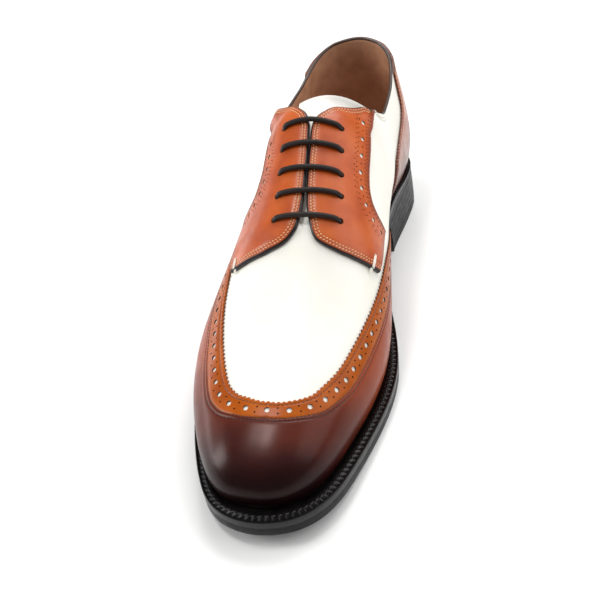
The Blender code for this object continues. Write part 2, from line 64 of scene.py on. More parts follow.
# Ribs of the last from toe to heel: name, foot along | lateral: outline, ledge, bulge, rise |
# medial: outline, ledge, bulge, rise | top: along, middle, half width, height | shoulder: reach, drop
RIBS = [
    ("toe_tip", 303.0, 0.0, 10.0, 3.0, 18.0, 0.0, 10.0, 3.0, 18.0, 236.0, 2.0, 0.0, 47.5, 34.0, 0.0),
    ("toe_corner", 296.5, 18.0, 7.5, 4.0, 18.0, 22.0, 10.0, 3.5, 18.0, 236.0, 2.0, 0.0, 47.5, 32.0, 0.0),
    ("toe_side", 284.0, 28.0, 5.5, 5.0, 19.0, 32.5, 9.5, 4.0, 18.0, 236.0, 2.0, 0.0, 47.5, 28.0, 0.0),
    ("toe_end", 263.0, 38.5, 4.5, 6.5, 21.0, 39.8, 8.5, 5.0, 18.0, 236.0, 2.0, 0.0, 47.5, 25.0, 0.0),
    ("tread", 234.0, 49.0, 4.0, 8.0, 26.0, 46.4, 8.0, 7.0, 21.0, 222.0, 2.0, 0.0, 52.5, 24.0, 0.0),
    ("ball", 200.0, 55.0, 4.5, 8.5, 30.0, 49.8, 7.5, 10.0, 27.0, 197.0, 2.0, 0.0, 65.0, 26.0, 0.0),
    ("throat", 168.0, 52.0, 5.0, 8.5, 34.0, 44.0, 7.0, 15.5, 33.0, 172.0, 1.5, 0.0, 81.0, 29.0, 0.0),
    ("waist", 137.0, 45.5, 5.0, 8.0, 37.0, 35.0, 6.0, 21.5, 38.0, 139.0, -1.5, 0.0, 97.0, 30.0, 0.0),
    ("instep", 110.0, 39.5, 5.0, 7.0, 41.0, 30.5, 5.0, 23.5, 42.0, 109.0, -4.0, 0.0, 109.5, 30.0, 0.0),
    ("facing_top", 96.0, 37.0, 4.5, 7.0, 40.0, 29.7, 4.5, 20.0, 38.0, 99.5, -3.0, 17.5, 106.0, 18.0, 8.5),
    ("collar_end", 82.0, 34.5, 4.0, 6.5, 35.5, 30.0, 4.0, 16.5, 36.5, 88.5, -1.5, 28.5, 96.0, 10.5, 14.5),
    ("heel_breast", 66.0, 32.5, 3.5, 6.0, 25.0, 32.0, 3.5, 10.0, 25.0, 73.0, -1.5, 30.0, 89.0, 3.0, 18.0),
    ("collar_low", 44.0, 32.0, 3.0, 5.0, 22.0, 34.5, 3.0, 6.0, 22.0, 48.0, -0.8, 28.8, 90.0, 3.0, 18.0),
    ("heel_side", 22.0, 27.5, 3.0, 5.0, 22.0, 33.0, 3.0, 5.0, 22.0, 22.0, 0.0, 24.0, 97.5, 3.0, 18.0),
    ("heel_round", 7.0, 15.0, 3.0, 5.0, 22.0, 20.5, 3.0, 5.0, 22.0, 10.0, 1.0, 13.5, 103.5, 3.0, 18.0),
    ("heel_back", 0.0, 0.0, 3.0, 5.0, 22.0, 0.0, 3.0, 5.0, 22.0, 7.0, 2.0, 0.0, 105.5, 3.0, 18.0),
]
RIB_COLUMNS = ["along", "outline-1", "ledge-1", "bulge-1", "rise-1", "outline1", "ledge1", "bulge1", "rise1",
               "top_along", "top_middle", "top_half", "top_height", "reach", "drop"]
FIRST_RIDGE_RIB = 3
LAST_RIDGE_RIB = 8
FULL_DROP = 18.0
NORMAL_STEP = 0.002
NORMAL_TOP = 0.985
ROUND_OFF = 1e-6

# Underside of the outsole: along, height
UNDERSIDE = [(0.0, 25.0), (40.0, 24.2), (72.0, 22.0), (105.0, 15.5), (135.0, 8.0), (165.0, 2.0), (192.0, 0.0),
             (222.0, 0.0), (250.0, 1.4), (280.0, 4.6), (303.0, 8.0)]

# Top edge of the upper, cut away under the facings so that the lace has room: rib, height
TOP_EDGE = [(0.0, 1.0), (0.450, 1.0), (0.485, 0.74), (0.62, 0.74), (0.655, 0.80), (0.686, 0.86),
            (0.702, 0.95), (0.735, 1.0), (1.0, 1.0)]

# Rolled edge of the collar
COLLAR_FRONT = 0.734
COLLAR_RADIUS = 0.9
COLLAR_SIDES = 12
COLLAR_STEP = 1.2
COLLAR_SAMPLES = 160

# Upper edge of the wing: rib, height on the lateral rib, height on the medial rib
WING_EDGE = [(0.00, 0.790, 0.790), (0.06, 0.773, 0.773), (0.10, 0.742, 0.745), (0.15, 0.680, 0.700),
             (0.20, 0.635, 0.642), (0.25, 0.590, 0.562), (0.30, 0.556, 0.520), (0.36, 0.525, 0.474),
             (0.42, 0.500, 0.425), (0.48, 0.445, 0.370), (0.54, 0.330, 0.280), (0.60, 0.170, 0.150),
             (0.643, 0.050, 0.050)]
OVERLAY_FOOT = -0.012

# Distance of the wing's upper seam below its edge: rib, lateral, medial
BAND_DEPTH = [(0.00, 7.9, 7.9), (0.04, 8.3, 7.9), (0.08, 9.3, 8.0), (0.12, 10.4, 8.2), (0.15, 11.0, 8.6),
              (0.19, 11.4, 9.3), (0.24, 11.1, 10.1), (0.32, 10.4, 10.3), (0.643, 10.3, 10.3)]

# Front edge of the heel counter: height on the rib, rib
COUNTER_EDGE = [(0.0, 0.722), (0.18, 0.7145), (0.306, 0.722), (0.4555, 0.757), (0.532, 0.790),
                (0.603, 0.8215), (0.685, 0.843), (0.82, 0.851), (1.0, 0.858)]
COUNTER_TOP = 0.992
COUNTER_CROWDING = 1.6
COUNTER_TOOTH_ROWS = 5

# How far the counter sinks at the heel seat, in heights and as a power of the height; the seat's first and
# last rib; what is skived off the outsole under it, in mm and from where to where along
COUNTER_SINK = 0.085
COUNTER_SINK_POWER = 4
HEEL_SEAT = (0.74, 0.84)
HEEL_SKIVE = 2.0
HEEL_SKIVE_ALONG = (45.0, 85.0)

# Facing outline: its top edge from front to back, its front from there round the throat to its lower end, and
# its back: lateral rib, lateral height, medial rib, medial height. A height over 1 lies past the ridge.
FACING_TOP = [(0.5919, 1.003, 0.5850, 0.988), (0.6047, 0.990, 0.5976, 0.980), (0.6147, 0.968, 0.6070, 0.962),
              (0.6233, 0.938, 0.6150, 0.940), (0.6361, 0.905, 0.6230, 0.917), (0.6480, 0.912, 0.6360, 0.893),
              (0.6580, 0.916, 0.6490, 0.893), (0.6720, 0.910, 0.6630, 0.912), (0.6880, 0.930, 0.6820, 0.945),
              (0.703, 0.965, 0.6995, 0.955)]
FACING_FRONT = [
    (0.5919, 1.003, 0.5850, 0.988), (0.5506, 1.006, 0.5506, 0.989), (0.5135, 1.003, 0.5135, 0.988),
    (0.4793, 0.999, 0.4793, 0.980), (0.4622, 0.991, 0.4637, 0.967), (0.4523, 0.985, 0.4537, 0.954),
    (0.4437, 0.977, 0.4423, 0.940), (0.4352, 0.962, 0.4337, 0.923), (0.4238, 0.930, 0.4275, 0.901),
    (0.4166, 0.891, 0.4245, 0.875), (0.4109, 0.828, 0.4212, 0.813), (0.4070, 0.766, 0.4205, 0.752),
    (0.4060, 0.693, 0.4220, 0.685), (0.4050, 0.616, 0.4250, 0.615), (0.4065, 0.570, 0.4295, 0.542),
    (0.4080, 0.535, 0.4366, 0.458)]
FACING_BACK = [(0.703, 0.965, 0.6995, 0.955), (0.692, 0.822, 0.6840, 0.840), (0.675, 0.702, 0.6650, 0.740),
               (0.655, 0.632, 0.6461, 0.645), (0.635, 0.618, 0.6247, 0.606), (0.604, 0.630, 0.5976, 0.596),
               (0.567, 0.640, 0.5705, 0.598), (0.541, 0.628, 0.5477, 0.590), (0.524, 0.595, 0.5292, 0.558),
               (0.516, 0.530, 0.5207, 0.491), (0.512, 0.470, 0.5192, 0.405)]
RIB_LENGTH = 85.0
CORNER_TRIM = 0.93

# Lace bars from the top down: lateral rib, lateral height, medial rib, medial height
LACE_BARS = [(0.596, 0.840, 0.599, 0.813), (0.565, 0.842, 0.568, 0.806), (0.528, 0.846, 0.532, 0.798),
             (0.493, 0.844, 0.500, 0.790), (0.457, 0.840, 0.464, 0.781)]

# Tongue: half width, places along of its base and of the end of its free top, the top's share, its sag;
# the arc of its top edge: middle across, along and height, how far its ends lie back, fall and tilt;
# the way out of its face there
TONGUE_HALF = 18.95
TONGUE_BASE = 184.5
TONGUE_SEAT = 111.0
TONGUE_FREE = 0.2
TONGUE_SAG = 2.2
TONGUE_ARC = (2.65, 99.0, 112.0, 6.0, 9.3, 1.3)
TONGUE_OUTWARD = (0.45, 0.4, 0.8)

# Soft troughs in the white leather: side, rib, height, half width along, half length up, depth in mm
TROUGHS = [(1, 0.700, 0.55, 0.010, 0.30, 1.1), (1, 0.668, 0.45, 0.008, 0.28, 0.7),
           (1, 0.728, 0.60, 0.008, 0.25, 0.7), (-1, 0.690, 0.50, 0.010, 0.30, 0.7),
           (-1, 0.655, 0.42, 0.009, 0.25, 0.30)]

# Panel offsets from the last, edges and furrows, in mm
WING_LOW = 0.1
WING_HIGH = 1.2
COUNTER_LOW = 0.2
COUNTER_HIGH = 1.75
FACING_LOW = 0.1
FACING_HIGH = 2.4
FACING_BACK_HIGH = 1.25
FACING_SKIVE = (3.0, 26.0)
FLAP_ROUNDING = 1.6
FLAP_DROP = 0.8
TONGUE_TOP = -2.75
TONGUE_THICKNESS = 2.0
EDGE_ROUNDING = 0.7
EDGE_DROP = 0.35
GROOVE_WIDTH = 0.55
GROOVE_DEPTH = 0.22
THREAD_LIFT = 0.05
NORMAL_REACH = 1.0

# Brogue, seams and teeth, in mm
TOOTH_PITCH = 2.4
TOOTH_DEPTH = 1.0
TOOTH_COLUMNS = 4
TOOTH_FADE = 3.2
ABOVE_EDGE = 0.06
WING_TAIL_HEIGHT = 26.0
WING_SEAMS = [2.1, 10.3, 12.3]
WING_HOLE_LINE = 5.6
WING_HOLE_PITCH = 7.5
WING_TOE_STRETCH = 2.7
WING_ROWS = [0.0, 0.3, 0.65, 1.1, 1.6, 1.9, 2.1, 2.3, 2.6, 3.2, 4.2, 5.4, 6.8, 8.2, 9.4, 9.8, 10.1, 10.3,
             10.5, 10.9, 11.3, 11.8, 12.1, 12.3, 12.5, 12.9, 13.5, 15.0]
WING_LOWER_ROWS = 9
WING_SEAM_MARGIN = 6.0
BIG_HOLE = 1.3
SMALL_HOLE = 0.45
FACING_HOLE = 1.35
FACING_DOT = 0.38
UNDERLAY_DEPTH = 0.85
UNDERLAY_SPREAD = 1.2
UNDERLAY_FLATNESS = 0.1
PAIR_SPREAD = 1.7
EYELET = 1.75
PUNCH_DEPTH = 4.4
HOLE_SIDES = 14
FACING_SEAMS = [2.2, 3.7]
FACING_BACK_SEAM = 1.5
FACING_HOLE_LINE = 6.8
FACING_HOLE_SHARES = [0.3565, 0.459, 0.553, 0.645, 0.726, 0.810, 0.888, 0.964]
FACING_DOT_LINES = [2.6, 3.9, 9.8, 11.3]
FACING_DOT_PITCH = 2.1
FACING_DOT_SPAN = (0.03, 0.96)
COUNTER_SEAMS = [2.2, 4.2]

# Stitches, in mm: pitch, length, width, height; and how far they lean, as angles
FACING_STITCH = (1.75, 1.25, 0.72, 0.5)
WING_STITCH = (1.9, 1.5, 0.5, 0.42)
WELT_STITCH = (3.0, 2.3, 0.8, 0.6)
STITCH_SLANT = 0.42
WELT_SLANT = 0.25

# Strands that tie the flaps' lower front corners down: side, rib and height on the flap, rib and height on
# the vamp; their width; how much longer a strand is than its run; where on the run it bends; heights there
BAR_TACKS = [(-1, 0.424, 0.575, 0.402, 0.575), (1, 0.4508, 0.524, 0.4238, 0.530)]
BAR_TACK_WIDTH = 0.8
BAR_TACK_OVERLAP = 1.2
BAR_TACK_BENDS = np.array([0.0, 0.78, 1.0])
BAR_TACK_HEIGHTS = np.array([FACING_HIGH + 0.35, FACING_HIGH + 0.1, 0.3])

# Rows of stitches below the collar's front corner: rib and height at both ends
COLLAR_ROWS = [(0.7016, 0.891, 0.752, 0.965), (0.6973, 0.822, 0.752, 0.925)]
COLLAR_ROW_SAMPLES = 40
COLLAR_ROW_OFFSETS = (0.1, 1.0)

# Lace, in mm; where a bar starts to dip into its eyelets, as a share of its half; how far aside hidden runs
# lie, in heights
LACE_RADIUS = 1.35
LACE_REST = 0.1
LACE_UNDER = -1.15
LACE_SIDES = 14
LACE_STEP = 0.7
LACE_DIP = 0.6
LACE_DIP_START = 0.86
LACE_ASIDE = 0.045
LACE_BAR_SAMPLES = 31
LACE_UNDER_SAMPLES = 15
LACE_SMOOTHING = 3

# Welt, in mm: insets and heights of its lip; the ridged band's start, height, swell across it and share of
# the ledge; the recess under the upper and the steps down to it; how much is thinned away round the heel
# seat; the thread's height over the band; the inset where ridges are counted; columns in a ridge
WELT_LIP = [(0.0, 0.02), (0.0, 3.6), (0.1, 3.95), (0.35, 4.2), (0.75, 4.1), (1.1, 3.6)]
WELT_BAND_START = 1.5
WELT_BAND_HEIGHT = 3.35
WELT_BAND_SWELL = [(0.0, 0.2), (0.33, 0.5), (0.67, 0.5), (1.0, 0.2)]
WELT_BAND_SHARE = 0.52
WELT_RECESS = 2.6
WELT_STEPS = [(0.5, 3.0), (1.3, 2.6)]
WELT_STEP_GAP = 0.2
WELT_THINNING = 0.8
WELT_THREAD_LIFT = 0.35
WELT_COUNT_INSET = 2.0
WELT_RIDGE_COLUMNS = 8

# Rounding of the sole's layers, in mm
OUTSOLE_ROUNDING = 0.1
SOCK_ROUNDING = 0.8
LIFT_ROUNDING = 0.03
TOP_PIECE_ROUNDING = 0.5
ROUNDING_SEGMENTS = 3
HEEL_LIFTS = 4
LIFT_SHARE = 0.999

# Mesh density; where the two sides of the upper part, as ribs
GRID_HALF = 0.5
WELD = 6e-6
RIB_SAMPLES = 90
LINE_SAMPLES = 400
SEAM_SAMPLES = 1200
EDGE_SAMPLES = 2400
EDGE_PLAN_SAMPLES = 3000
THROAT_OPENS = (0.44, 0.455)
UPPER_COLUMNS = 340
UPPER_ROWS = 46
UPPER_CROWDING = 0.4
TONGUE_COLUMNS = 60
TONGUE_ROWS = 80
FACING_COLUMNS = 170
FACING_ROWS = 56
FACING_CROWDING = (0.45, 0.75)
COUNTER_COLUMNS = 200
SOLE_COLUMNS = 170
SOLE_ROWS = 14
HEEL_COLUMNS = 70
STITCH_BATCH = 40
SMOOTH_ANGLE = 0.6
BEVEL_ANGLE = 0.9

# Range that most values of a noise lie in
NOISE_LOW = 0.3
NOISE_HIGH = 0.7


def monotone_curve(places, values, level_ends=False):
    """Cubic through the points that never overshoots them, level at both ends if asked."""
    places = np.asarray(places, float)
    values = np.asarray(values, float)
    steps = np.diff(places)
    slopes = np.diff(values) / steps
    tangents = np.zeros_like(values)
    if not level_ends:
        tangents[0] = slopes[0]
        tangents[-1] = slopes[-1]
    for i in range(1, len(places) - 1):
        if slopes[i - 1] * slopes[i] > 0:
            before = 2 * steps[i] + steps[i - 1]
            after = steps[i] + 2 * steps[i - 1]
            tangents[i] = (before + after) / (before / slopes[i - 1] + after / slopes[i])
    return hermite(places, values, tangents)


def clamped_curve(places, values, start_slope, end_slope):
    """Smooth cubic spline through the points, with the slope given at both ends."""
    places = np.asarray(places, float)
    values = np.asarray(values, float)
    steps = np.diff(places)
    count = len(places)
    matrix = np.eye(count)
    right = np.zeros(count)
    right[0] = start_slope
    right[-1] = end_slope
    for i in range(1, count - 1):
        matrix[i, i - 1] = 1 / steps[i - 1]
        matrix[i, i] = 2 / steps[i - 1] + 2 / steps[i]
        matrix[i, i + 1] = 1 / steps[i]
        rise_before = (values[i] - values[i - 1]) / steps[i - 1] ** 2
        rise_after = (values[i + 1] - values[i]) / steps[i] ** 2
        right[i] = 3 * (rise_before + rise_after)
    return hermite(places, values, np.linalg.solve(matrix, right))


def hermite(places, values, tangents):
    """Piecewise cubic from values and slopes; asked with slope=True it gives its own slope."""
    steps = np.diff(places)

    def curve(query, slope=False):
        query = np.asarray(query, float)
        i = np.clip(np.searchsorted(places, query) - 1, 0, len(steps) - 1)
        s = (query - places[i]) / steps[i]
        if slope:
            rise = 6 * s * (1 - s) * (values[i + 1] - values[i]) / steps[i]
            return rise + tangents[i] * (1 - s) * (1 - 3 * s) + tangents[i + 1] * s * (3 * s - 2)
        start = values[i] * (1 + 2 * s) * (1 - s) ** 2
        end = values[i + 1] * s * s * (3 - 2 * s)
        bend = tangents[i] * s * (1 - s) ** 2 - tangents[i + 1] * s * s * (1 - s)
        return start + end + steps[i] * bend

    return curve


def table_curve(table, column):
    return monotone_curve([row[0] for row in table], [row[column] for row in table])


def side_pair(row, side):
    """Rib and height on one side, from a row that gives both sides."""
    first = 0 if side < 0 else 2
    return row[first:first + 2]


class Last:
    """The form of the foot: ribs from the seam at the welt up to the ridge or the collar."""

    def __init__(self):
        table = {}
        for number, name in enumerate(RIB_COLUMNS):
            table[name] = np.array([row[1 + number] for row in RIBS])
        sides = {}
        for side in (-1, 1):
            across = side * table["outline%d" % side]
            across[0] = TOE_TIP_X
            across[-1] = HEEL_BACK_X
            sides[side] = np.stack([across, table["along"]], axis=1)
        chords = [np.linalg.norm(np.diff(sides[side], axis=0), axis=1) for side in (-1, 1)]
        lengths = np.concatenate([[0.0], np.cumsum(0.5 * (chords[0] + chords[1]))])
        self.girth = lengths[-1]
        self.t = lengths / self.girth
        self.outlines = {}
        for side in (-1, 1):
            across = clamped_curve(self.t, sides[side][:, 0], side * self.girth, -side * self.girth)
            along = clamped_curve(self.t, sides[side][:, 1], 0.0, 0.0)
            self.outlines[side] = (across, along)
        self.column = {}
        for name in RIB_COLUMNS:
            self.column[name] = monotone_curve(self.t, table[name], level_ends=name != "top_half")
        self.underside = table_curve(UNDERSIDE, 1)
        ridge = slice(FIRST_RIDGE_RIB, LAST_RIDGE_RIB + 1)
        self.ridge_along = table["top_along"][ridge][::-1]
        self.ridge_height = monotone_curve(self.ridge_along, table["top_height"][ridge][::-1])

    def outline(self, side, t, inset):
        """Plan point of the sole's edge, moved in by the inset, and the inward direction."""
        across, along = self.outlines[side]
        run_x = across(t, slope=True)
        run_y = along(t, slope=True)
        length = np.hypot(run_x, run_y)
        inward = np.stack([side * run_y / length, -side * run_x / length], axis=-1)
        point = np.stack([across(t), along(t)], axis=-1)
        return point + inward * np.asarray(inset)[..., None], inward

    def bottom(self, along):
        return self.underside(np.clip(along, 0.0, SOLE_LENGTH))

    def ridge_slope(self, t):
        reach = 1.0
        low = self.ridge_along[0] + reach
        high = self.ridge_along[-1] - reach
        along = np.clip(self.column["top_along"](t), low, high)
        return (self.ridge_height(along + reach) - self.ridge_height(along - reach)) / (2 * reach)

    def point(self, side, t, v):
        """Point of the last: a cubic rib with a bulge over the welt and a level shoulder at the ridge."""
        t, v = np.broadcast_arrays(np.asarray(t, float), np.asarray(v, float))
        column = self.column
        plan, inward = self.outline(side, t, column["ledge%d" % side](t))
        foot = np.stack([plan[..., 0], plan[..., 1], self.bottom(plan[..., 1]) + SEAT_HEIGHT], axis=-1)
        top_x = column["top_middle"](t) + side * column["top_half"](t)
        top = np.stack([top_x, column["top_along"](t), column["top_height"](t)], axis=-1)
        bulge = column["bulge%d" % side](t)[..., None]
        rise = column["rise%d" % side](t)[..., None]
        side_wall = foot + np.concatenate([-inward * bulge, rise], axis=-1)
        away = foot[..., :2] - top[..., :2]
        away = away / np.linalg.norm(away, axis=-1, keepdims=True) * column["reach"](t)[..., None]
        drop = column["drop"](t)
        fall = self.ridge_slope(t) * away[..., 1] * (1 - np.clip(drop / FULL_DROP, 0, 1)) - drop
        shoulder = top + np.concatenate([away, fall[..., None]], axis=-1)
        v = v[..., None]
        w = 1 - v
        return w ** 3 * foot + 3 * w * w * v * side_wall + 3 * w * v * v * shoulder + v ** 3 * top

    def normal(self, side, t, v):
        t, v = np.broadcast_arrays(np.asarray(t, float), np.asarray(v, float))
        t = np.clip(t, NORMAL_STEP, 1 - NORMAL_STEP)
        v = np.clip(v, NORMAL_STEP, NORMAL_TOP)
        along = self.point(side, t + NORMAL_STEP, v) - self.point(side, t - NORMAL_STEP, v)
        up = self.point(side, t, v + NORMAL_STEP) - self.point(side, t, v - NORMAL_STEP)
        normal = -side * np.cross(along, up)
        return normal / np.linalg.norm(normal, axis=-1, keepdims=True)


last = Last()
wing_edges = {-1: table_curve(WING_EDGE, 1), 1: table_curve(WING_EDGE, 2)}
band_depths = {-1: table_curve(BAND_DEPTH, 1), 1: table_curve(BAND_DEPTH, 2)}
top_edge = table_curve(TOP_EDGE, 1)
counter_edge = table_curve(COUNTER_EDGE, 1)

outsole_corners = np.array([vertex.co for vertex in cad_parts["outsole"].data.vertices])
heel_corner = outsole_corners[outsole_corners[:, 1].argmax()]
SHIFT = np.array([heel_corner[0] - HEEL_BACK_X * MM, heel_corner[1], 0.0])


def placed(points):
    """Table millimetres to the frame's metres, with the toe to -Y."""
    return np.asarray(points) * MIRROR * MM + SHIFT


def skin(sides, t, v, offset):
    """Points at a distance outside the last. A height over 1 goes on past the ridge to the other side."""
    sides, t, v, offset = np.broadcast_arrays(sides, t, v, offset)
    past = v > 1 + ROUND_OFF
    sides = np.where(past, -sides, sides)
    v = np.where(past, 2 - v, v)
    points = np.empty(t.shape + (3,))
    for side in (-1, 1):
        chosen = sides == side
        lift = last.normal(side, t[chosen], v[chosen]) * offset[chosen][..., None]
        points[chosen] = last.point(side, t[chosen], v[chosen]) + lift
    return points


def stacked(*values):
    """Arrays of any fitting shapes as the coordinates of points."""
    return np.stack(np.broadcast_arrays(*values), axis=-1)


def crowded(share, crowding):
    """Shares from 0 to 1, moved closer together at both ends."""
    return share - crowding * np.sin(2 * np.pi * share) / (2 * np.pi)


def cumulative(points):
    """Length of a line of points up to each of them."""
    steps = np.linalg.norm(np.diff(points, axis=-2), axis=-1)
    return np.concatenate([np.zeros(steps.shape[:-1] + (1,)), np.cumsum(steps, axis=-1)], axis=-1)


def at_lengths(points, lengths, stops):
    return np.stack([np.interp(stops, lengths, points[:, k]) for k in range(points.shape[1])], axis=1)


def walk(points, pitch, start=0.0):
    """Places every pitch along a line of points, with the direction of the line there."""
    lengths = cumulative(points)
    stops = np.arange(start, lengths[-1], pitch)
    reach = 0.3 * pitch
    ahead = at_lengths(points, lengths, np.minimum(stops + reach, lengths[-1]))
    behind = at_lengths(points, lengths, np.maximum(stops - reach, 0.0))
    run = ahead - behind
    return at_lengths(points, lengths, stops), run / np.linalg.norm(run, axis=1, keepdims=True)


def soft_step(value, low, high):
    share = np.clip((value - low) / (high - low), 0, 1)
    return share * share * (3 - 2 * share)


def grooves(distance, seams):
    """Depth of the furrows that rows of stitching pull into a panel."""
    return sum(GROOVE_DEPTH * np.exp(-((distance - seam) / GROOVE_WIDTH) ** 2) for seam in seams)


def edge_drop(distance):
    """How far a panel's face falls off towards its cut edge."""
    return EDGE_DROP * np.clip(1 - distance / EDGE_ROUNDING, 0, 1) ** 2


def link(name, data):
    """A new object in the scene."""
    made = bpy.data.objects.new(name, data)
    bpy.context.scene.collection.objects.link(made)
    return made


def to_mesh(builder, name):
    """Turn what was built into a mesh and free the builder."""
    mesh = bpy.data.meshes.new(name)
    builder.to_mesh(mesh)
    builder.free()
    return mesh


def smooth(mesh):
    mesh.shade_smooth()
    mesh.set_sharp_from_angle(angle=SMOOTH_ANGLE)


def add_piece(name, mesh, stands_for=()):
    """Link a finished mesh, smooth it between its hard edges and let it ride on the shoe."""
    smooth(mesh)
    piece = link(name, mesh)
    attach(piece, "root")
    if stands_for:
        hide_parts(*stands_for)
    return piece


def lay_grid(mesh, columns, rows, layers, uv, finishes):
    """Move a flat unit grid's vertices to rows of points, with its UV map in millimetres."""
    flat = np.empty(len(mesh.vertices) * 3)
    mesh.vertices.foreach_get("co", flat)
    flat = flat.reshape(-1, 3)
    column = np.rint((flat[:, 0] + GRID_HALF) * columns).astype(int)
    row = np.rint((flat[:, 1] + GRID_HALF) * rows).astype(int)
    layer = np.rint(flat[:, 2]).astype(int)
    mesh.vertices.foreach_set("co", placed(layers[layer, column, row]).ravel())
    corner = np.empty(len(mesh.loops), np.int32)
    mesh.loops.foreach_get("vertex_index", corner)
    mesh.uv_layers.new(name="panel").data.foreach_set("uv", uv[column, row][corner].ravel())
    for finish in finishes:
        mesh.materials.append(finish)
    return layer[corner].reshape(-1, 4).sum(axis=1)


def weld_and_turn_out(mesh, fill=False):
    """Close the seams of a laid grid, take out walls left inside it and turn its faces outward."""
    builder = bmesh.new()
    builder.from_mesh(mesh)
    bmesh.ops.remove_doubles(builder, verts=builder.verts, dist=WELD)
    bmesh.ops.dissolve_degenerate(builder, edges=builder.edges, dist=WELD)
    walls = [face for face in builder.faces if sum(len(edge.link_faces) > 2 for edge in face.edges) > 1]
    bmesh.ops.delete(builder, geom=walls, context="FACES")
    if fill:
        bmesh.ops.holes_fill(builder, edges=builder.edges, sides=0)
    bmesh.ops.recalc_face_normals(builder, faces=builder.faces)
    builder.to_mesh(mesh)
    builder.free()


def shell(name, low, high, uv, finishes):
    """A closed panel between two layers of points. Finishes: outer face, cut edge, inner face."""
    columns = low.shape[0] - 1
    rows = low.shape[1] - 1
    builder = bmesh.new()
    bmesh.ops.create_grid(builder, x_segments=columns, y_segments=rows, size=GRID_HALF)
    raised = bmesh.ops.extrude_face_region(builder, geom=builder.faces[:])
    top = [item for item in raised["geom"] if isinstance(item, bmesh.types.BMVert)]
    bmesh.ops.translate(builder, verts=top, vec=(0.0, 0.0, 1.0))
    mesh = to_mesh(builder, name)
    raised_corners = lay_grid(mesh, columns, rows, np.stack([low, high]), uv, finishes)
    kinds = np.where(raised_corners == 4, 0, np.where(raised_corners == 0, 2, 1))
    mesh.polygons.foreach_set("material_index", kinds.astype(np.int32))
    weld_and_turn_out(mesh, fill=True)
    return mesh


def ring_sheet(name, points, uv, finish, fill=False):
    """A sheet of points that closes on itself, welded where its edges meet."""
    columns = points.shape[0] - 1
    rows = points.shape[1] - 1
    builder = bmesh.new()
    bmesh.ops.create_grid(builder, x_segments=columns, y_segments=rows, size=GRID_HALF)
    mesh = to_mesh(builder, name)
    lay_grid(mesh, columns, rows, points[None], uv, [finish])
    weld_and_turn_out(mesh, fill)
    return mesh


def tube(name, path, radius, sides, finish):
    """A round cord along a path, its UV map in millimetres round and along it."""
    run = np.gradient(path, axis=0)
    run /= np.linalg.norm(run, axis=1, keepdims=True)
    across = np.cross(run[0], [0.0, 0.0, 1.0])
    rings = []
    angles = np.linspace(0, 2 * np.pi, sides + 1)
    for centre, ahead in zip(path, run):
        across = across - ahead * np.dot(across, ahead)
        across = across / np.linalg.norm(across)
        up = np.cross(ahead, across)
        rings.append(centre + radius * (np.cos(angles)[:, None] * across + np.sin(angles)[:, None] * up))
    lengths = cumulative(path)
    uv = np.stack(np.meshgrid(angles * radius, lengths), axis=-1)
    return ring_sheet(name, np.array(rings), uv, finish, fill=True)


def facing_frame(place, normal, direction):
    """Axes with z along the normal and y along the direction, at a place in the frame."""
    z = Vector(normal).normalized()
    x = Vector(direction).cross(z).normalized()
    y = z.cross(x)
    turned = Matrix((x, y, z)).transposed().to_4x4()
    turned.translation = Vector(place)
    return turned


def punch(piece, holes, cut_finish):
    """Cut round holes in a panel: rows of place, normal and radius. The cut takes one of its finishes."""
    builder = bmesh.new()
    for place, normal, radius in holes:
        side = Vector(normal).orthogonal()
        bmesh.ops.create_cone(builder, cap_ends=True, segments=HOLE_SIDES, radius1=radius * MM,
                              radius2=radius * MM, depth=PUNCH_DEPTH * MM,
                              matrix=facing_frame(place, normal, side))
    for face in builder.faces:
        face.material_index = cut_finish
    mesh = to_mesh(builder, "punches")
    for finish in piece.data.materials:
        mesh.materials.append(finish)
    punches = link("punches", mesh)
    cut = piece.modifiers.new("holes", "BOOLEAN")
    cut.operation = "DIFFERENCE"
    cut.solver = "MANIFOLD"
    cut.object = punches
    depsgraph = bpy.context.evaluated_depsgraph_get()
    cut_mesh = bpy.data.meshes.new_from_object(piece.evaluated_get(depsgraph))
    piece.modifiers.clear()
    piece.data = cut_mesh
    smooth(cut_mesh)
    bpy.data.objects.remove(punches)


def sew(stitches, places, normals, runs, stitch, slant=0.0):
    """Note where one row of stitches goes. A stitch: pitch, length, width, height."""
    _, length, width, height = stitch
    size = Matrix.Diagonal((width * MM / 2, length * MM / 2, height * MM / 2, 1.0))
    lie_down = Matrix.Rotation(np.pi / 2, 4, "X")
    lean = Matrix.Rotation(slant, 4, "Z")
    for place, normal, run in zip(places, normals, runs):
        stitches.append(facing_frame(place, normal, run) @ lean @ size @ lie_down)


def sew_row(stitches, sides, t, v, offsets, stitch):
    """Sew along a line on the last. Offsets: of the thread, and of a line above it that gives the normals."""
    line, above = [placed(skin(sides, t, v, offset)) for offset in offsets]
    pitch = stitch[0] * MM
    places, runs = walk(line, pitch)
    lengths = cumulative(line)
    normals = at_lengths(above - line, lengths, np.arange(0.0, lengths[-1], pitch))
    sew(stitches, places, normals, runs, stitch)


def snapped(tree, points):
    """Nearest places and outward normals on a panel."""
    hits = [tree.find_nearest(Vector(point)) for point in points]
    return np.array([hit[0] for hit in hits]), np.array([hit[1] for hit in hits])


def back_holes(underlay, holes, big):
    """Note where white leather shows at the bottom of the big brogue holes."""
    for place, normal, radius in holes:
        if radius == big:
            middle = Vector(place) - Vector(normal).normalized() * UNDERLAY_DEPTH * MM
            spread = radius * UNDERLAY_SPREAD * MM
            size = Matrix.Diagonal((spread, spread, UNDERLAY_FLATNESS * spread, 1.0))
            underlay.append(facing_frame(middle, normal, Vector(normal).orthogonal()) @ size)


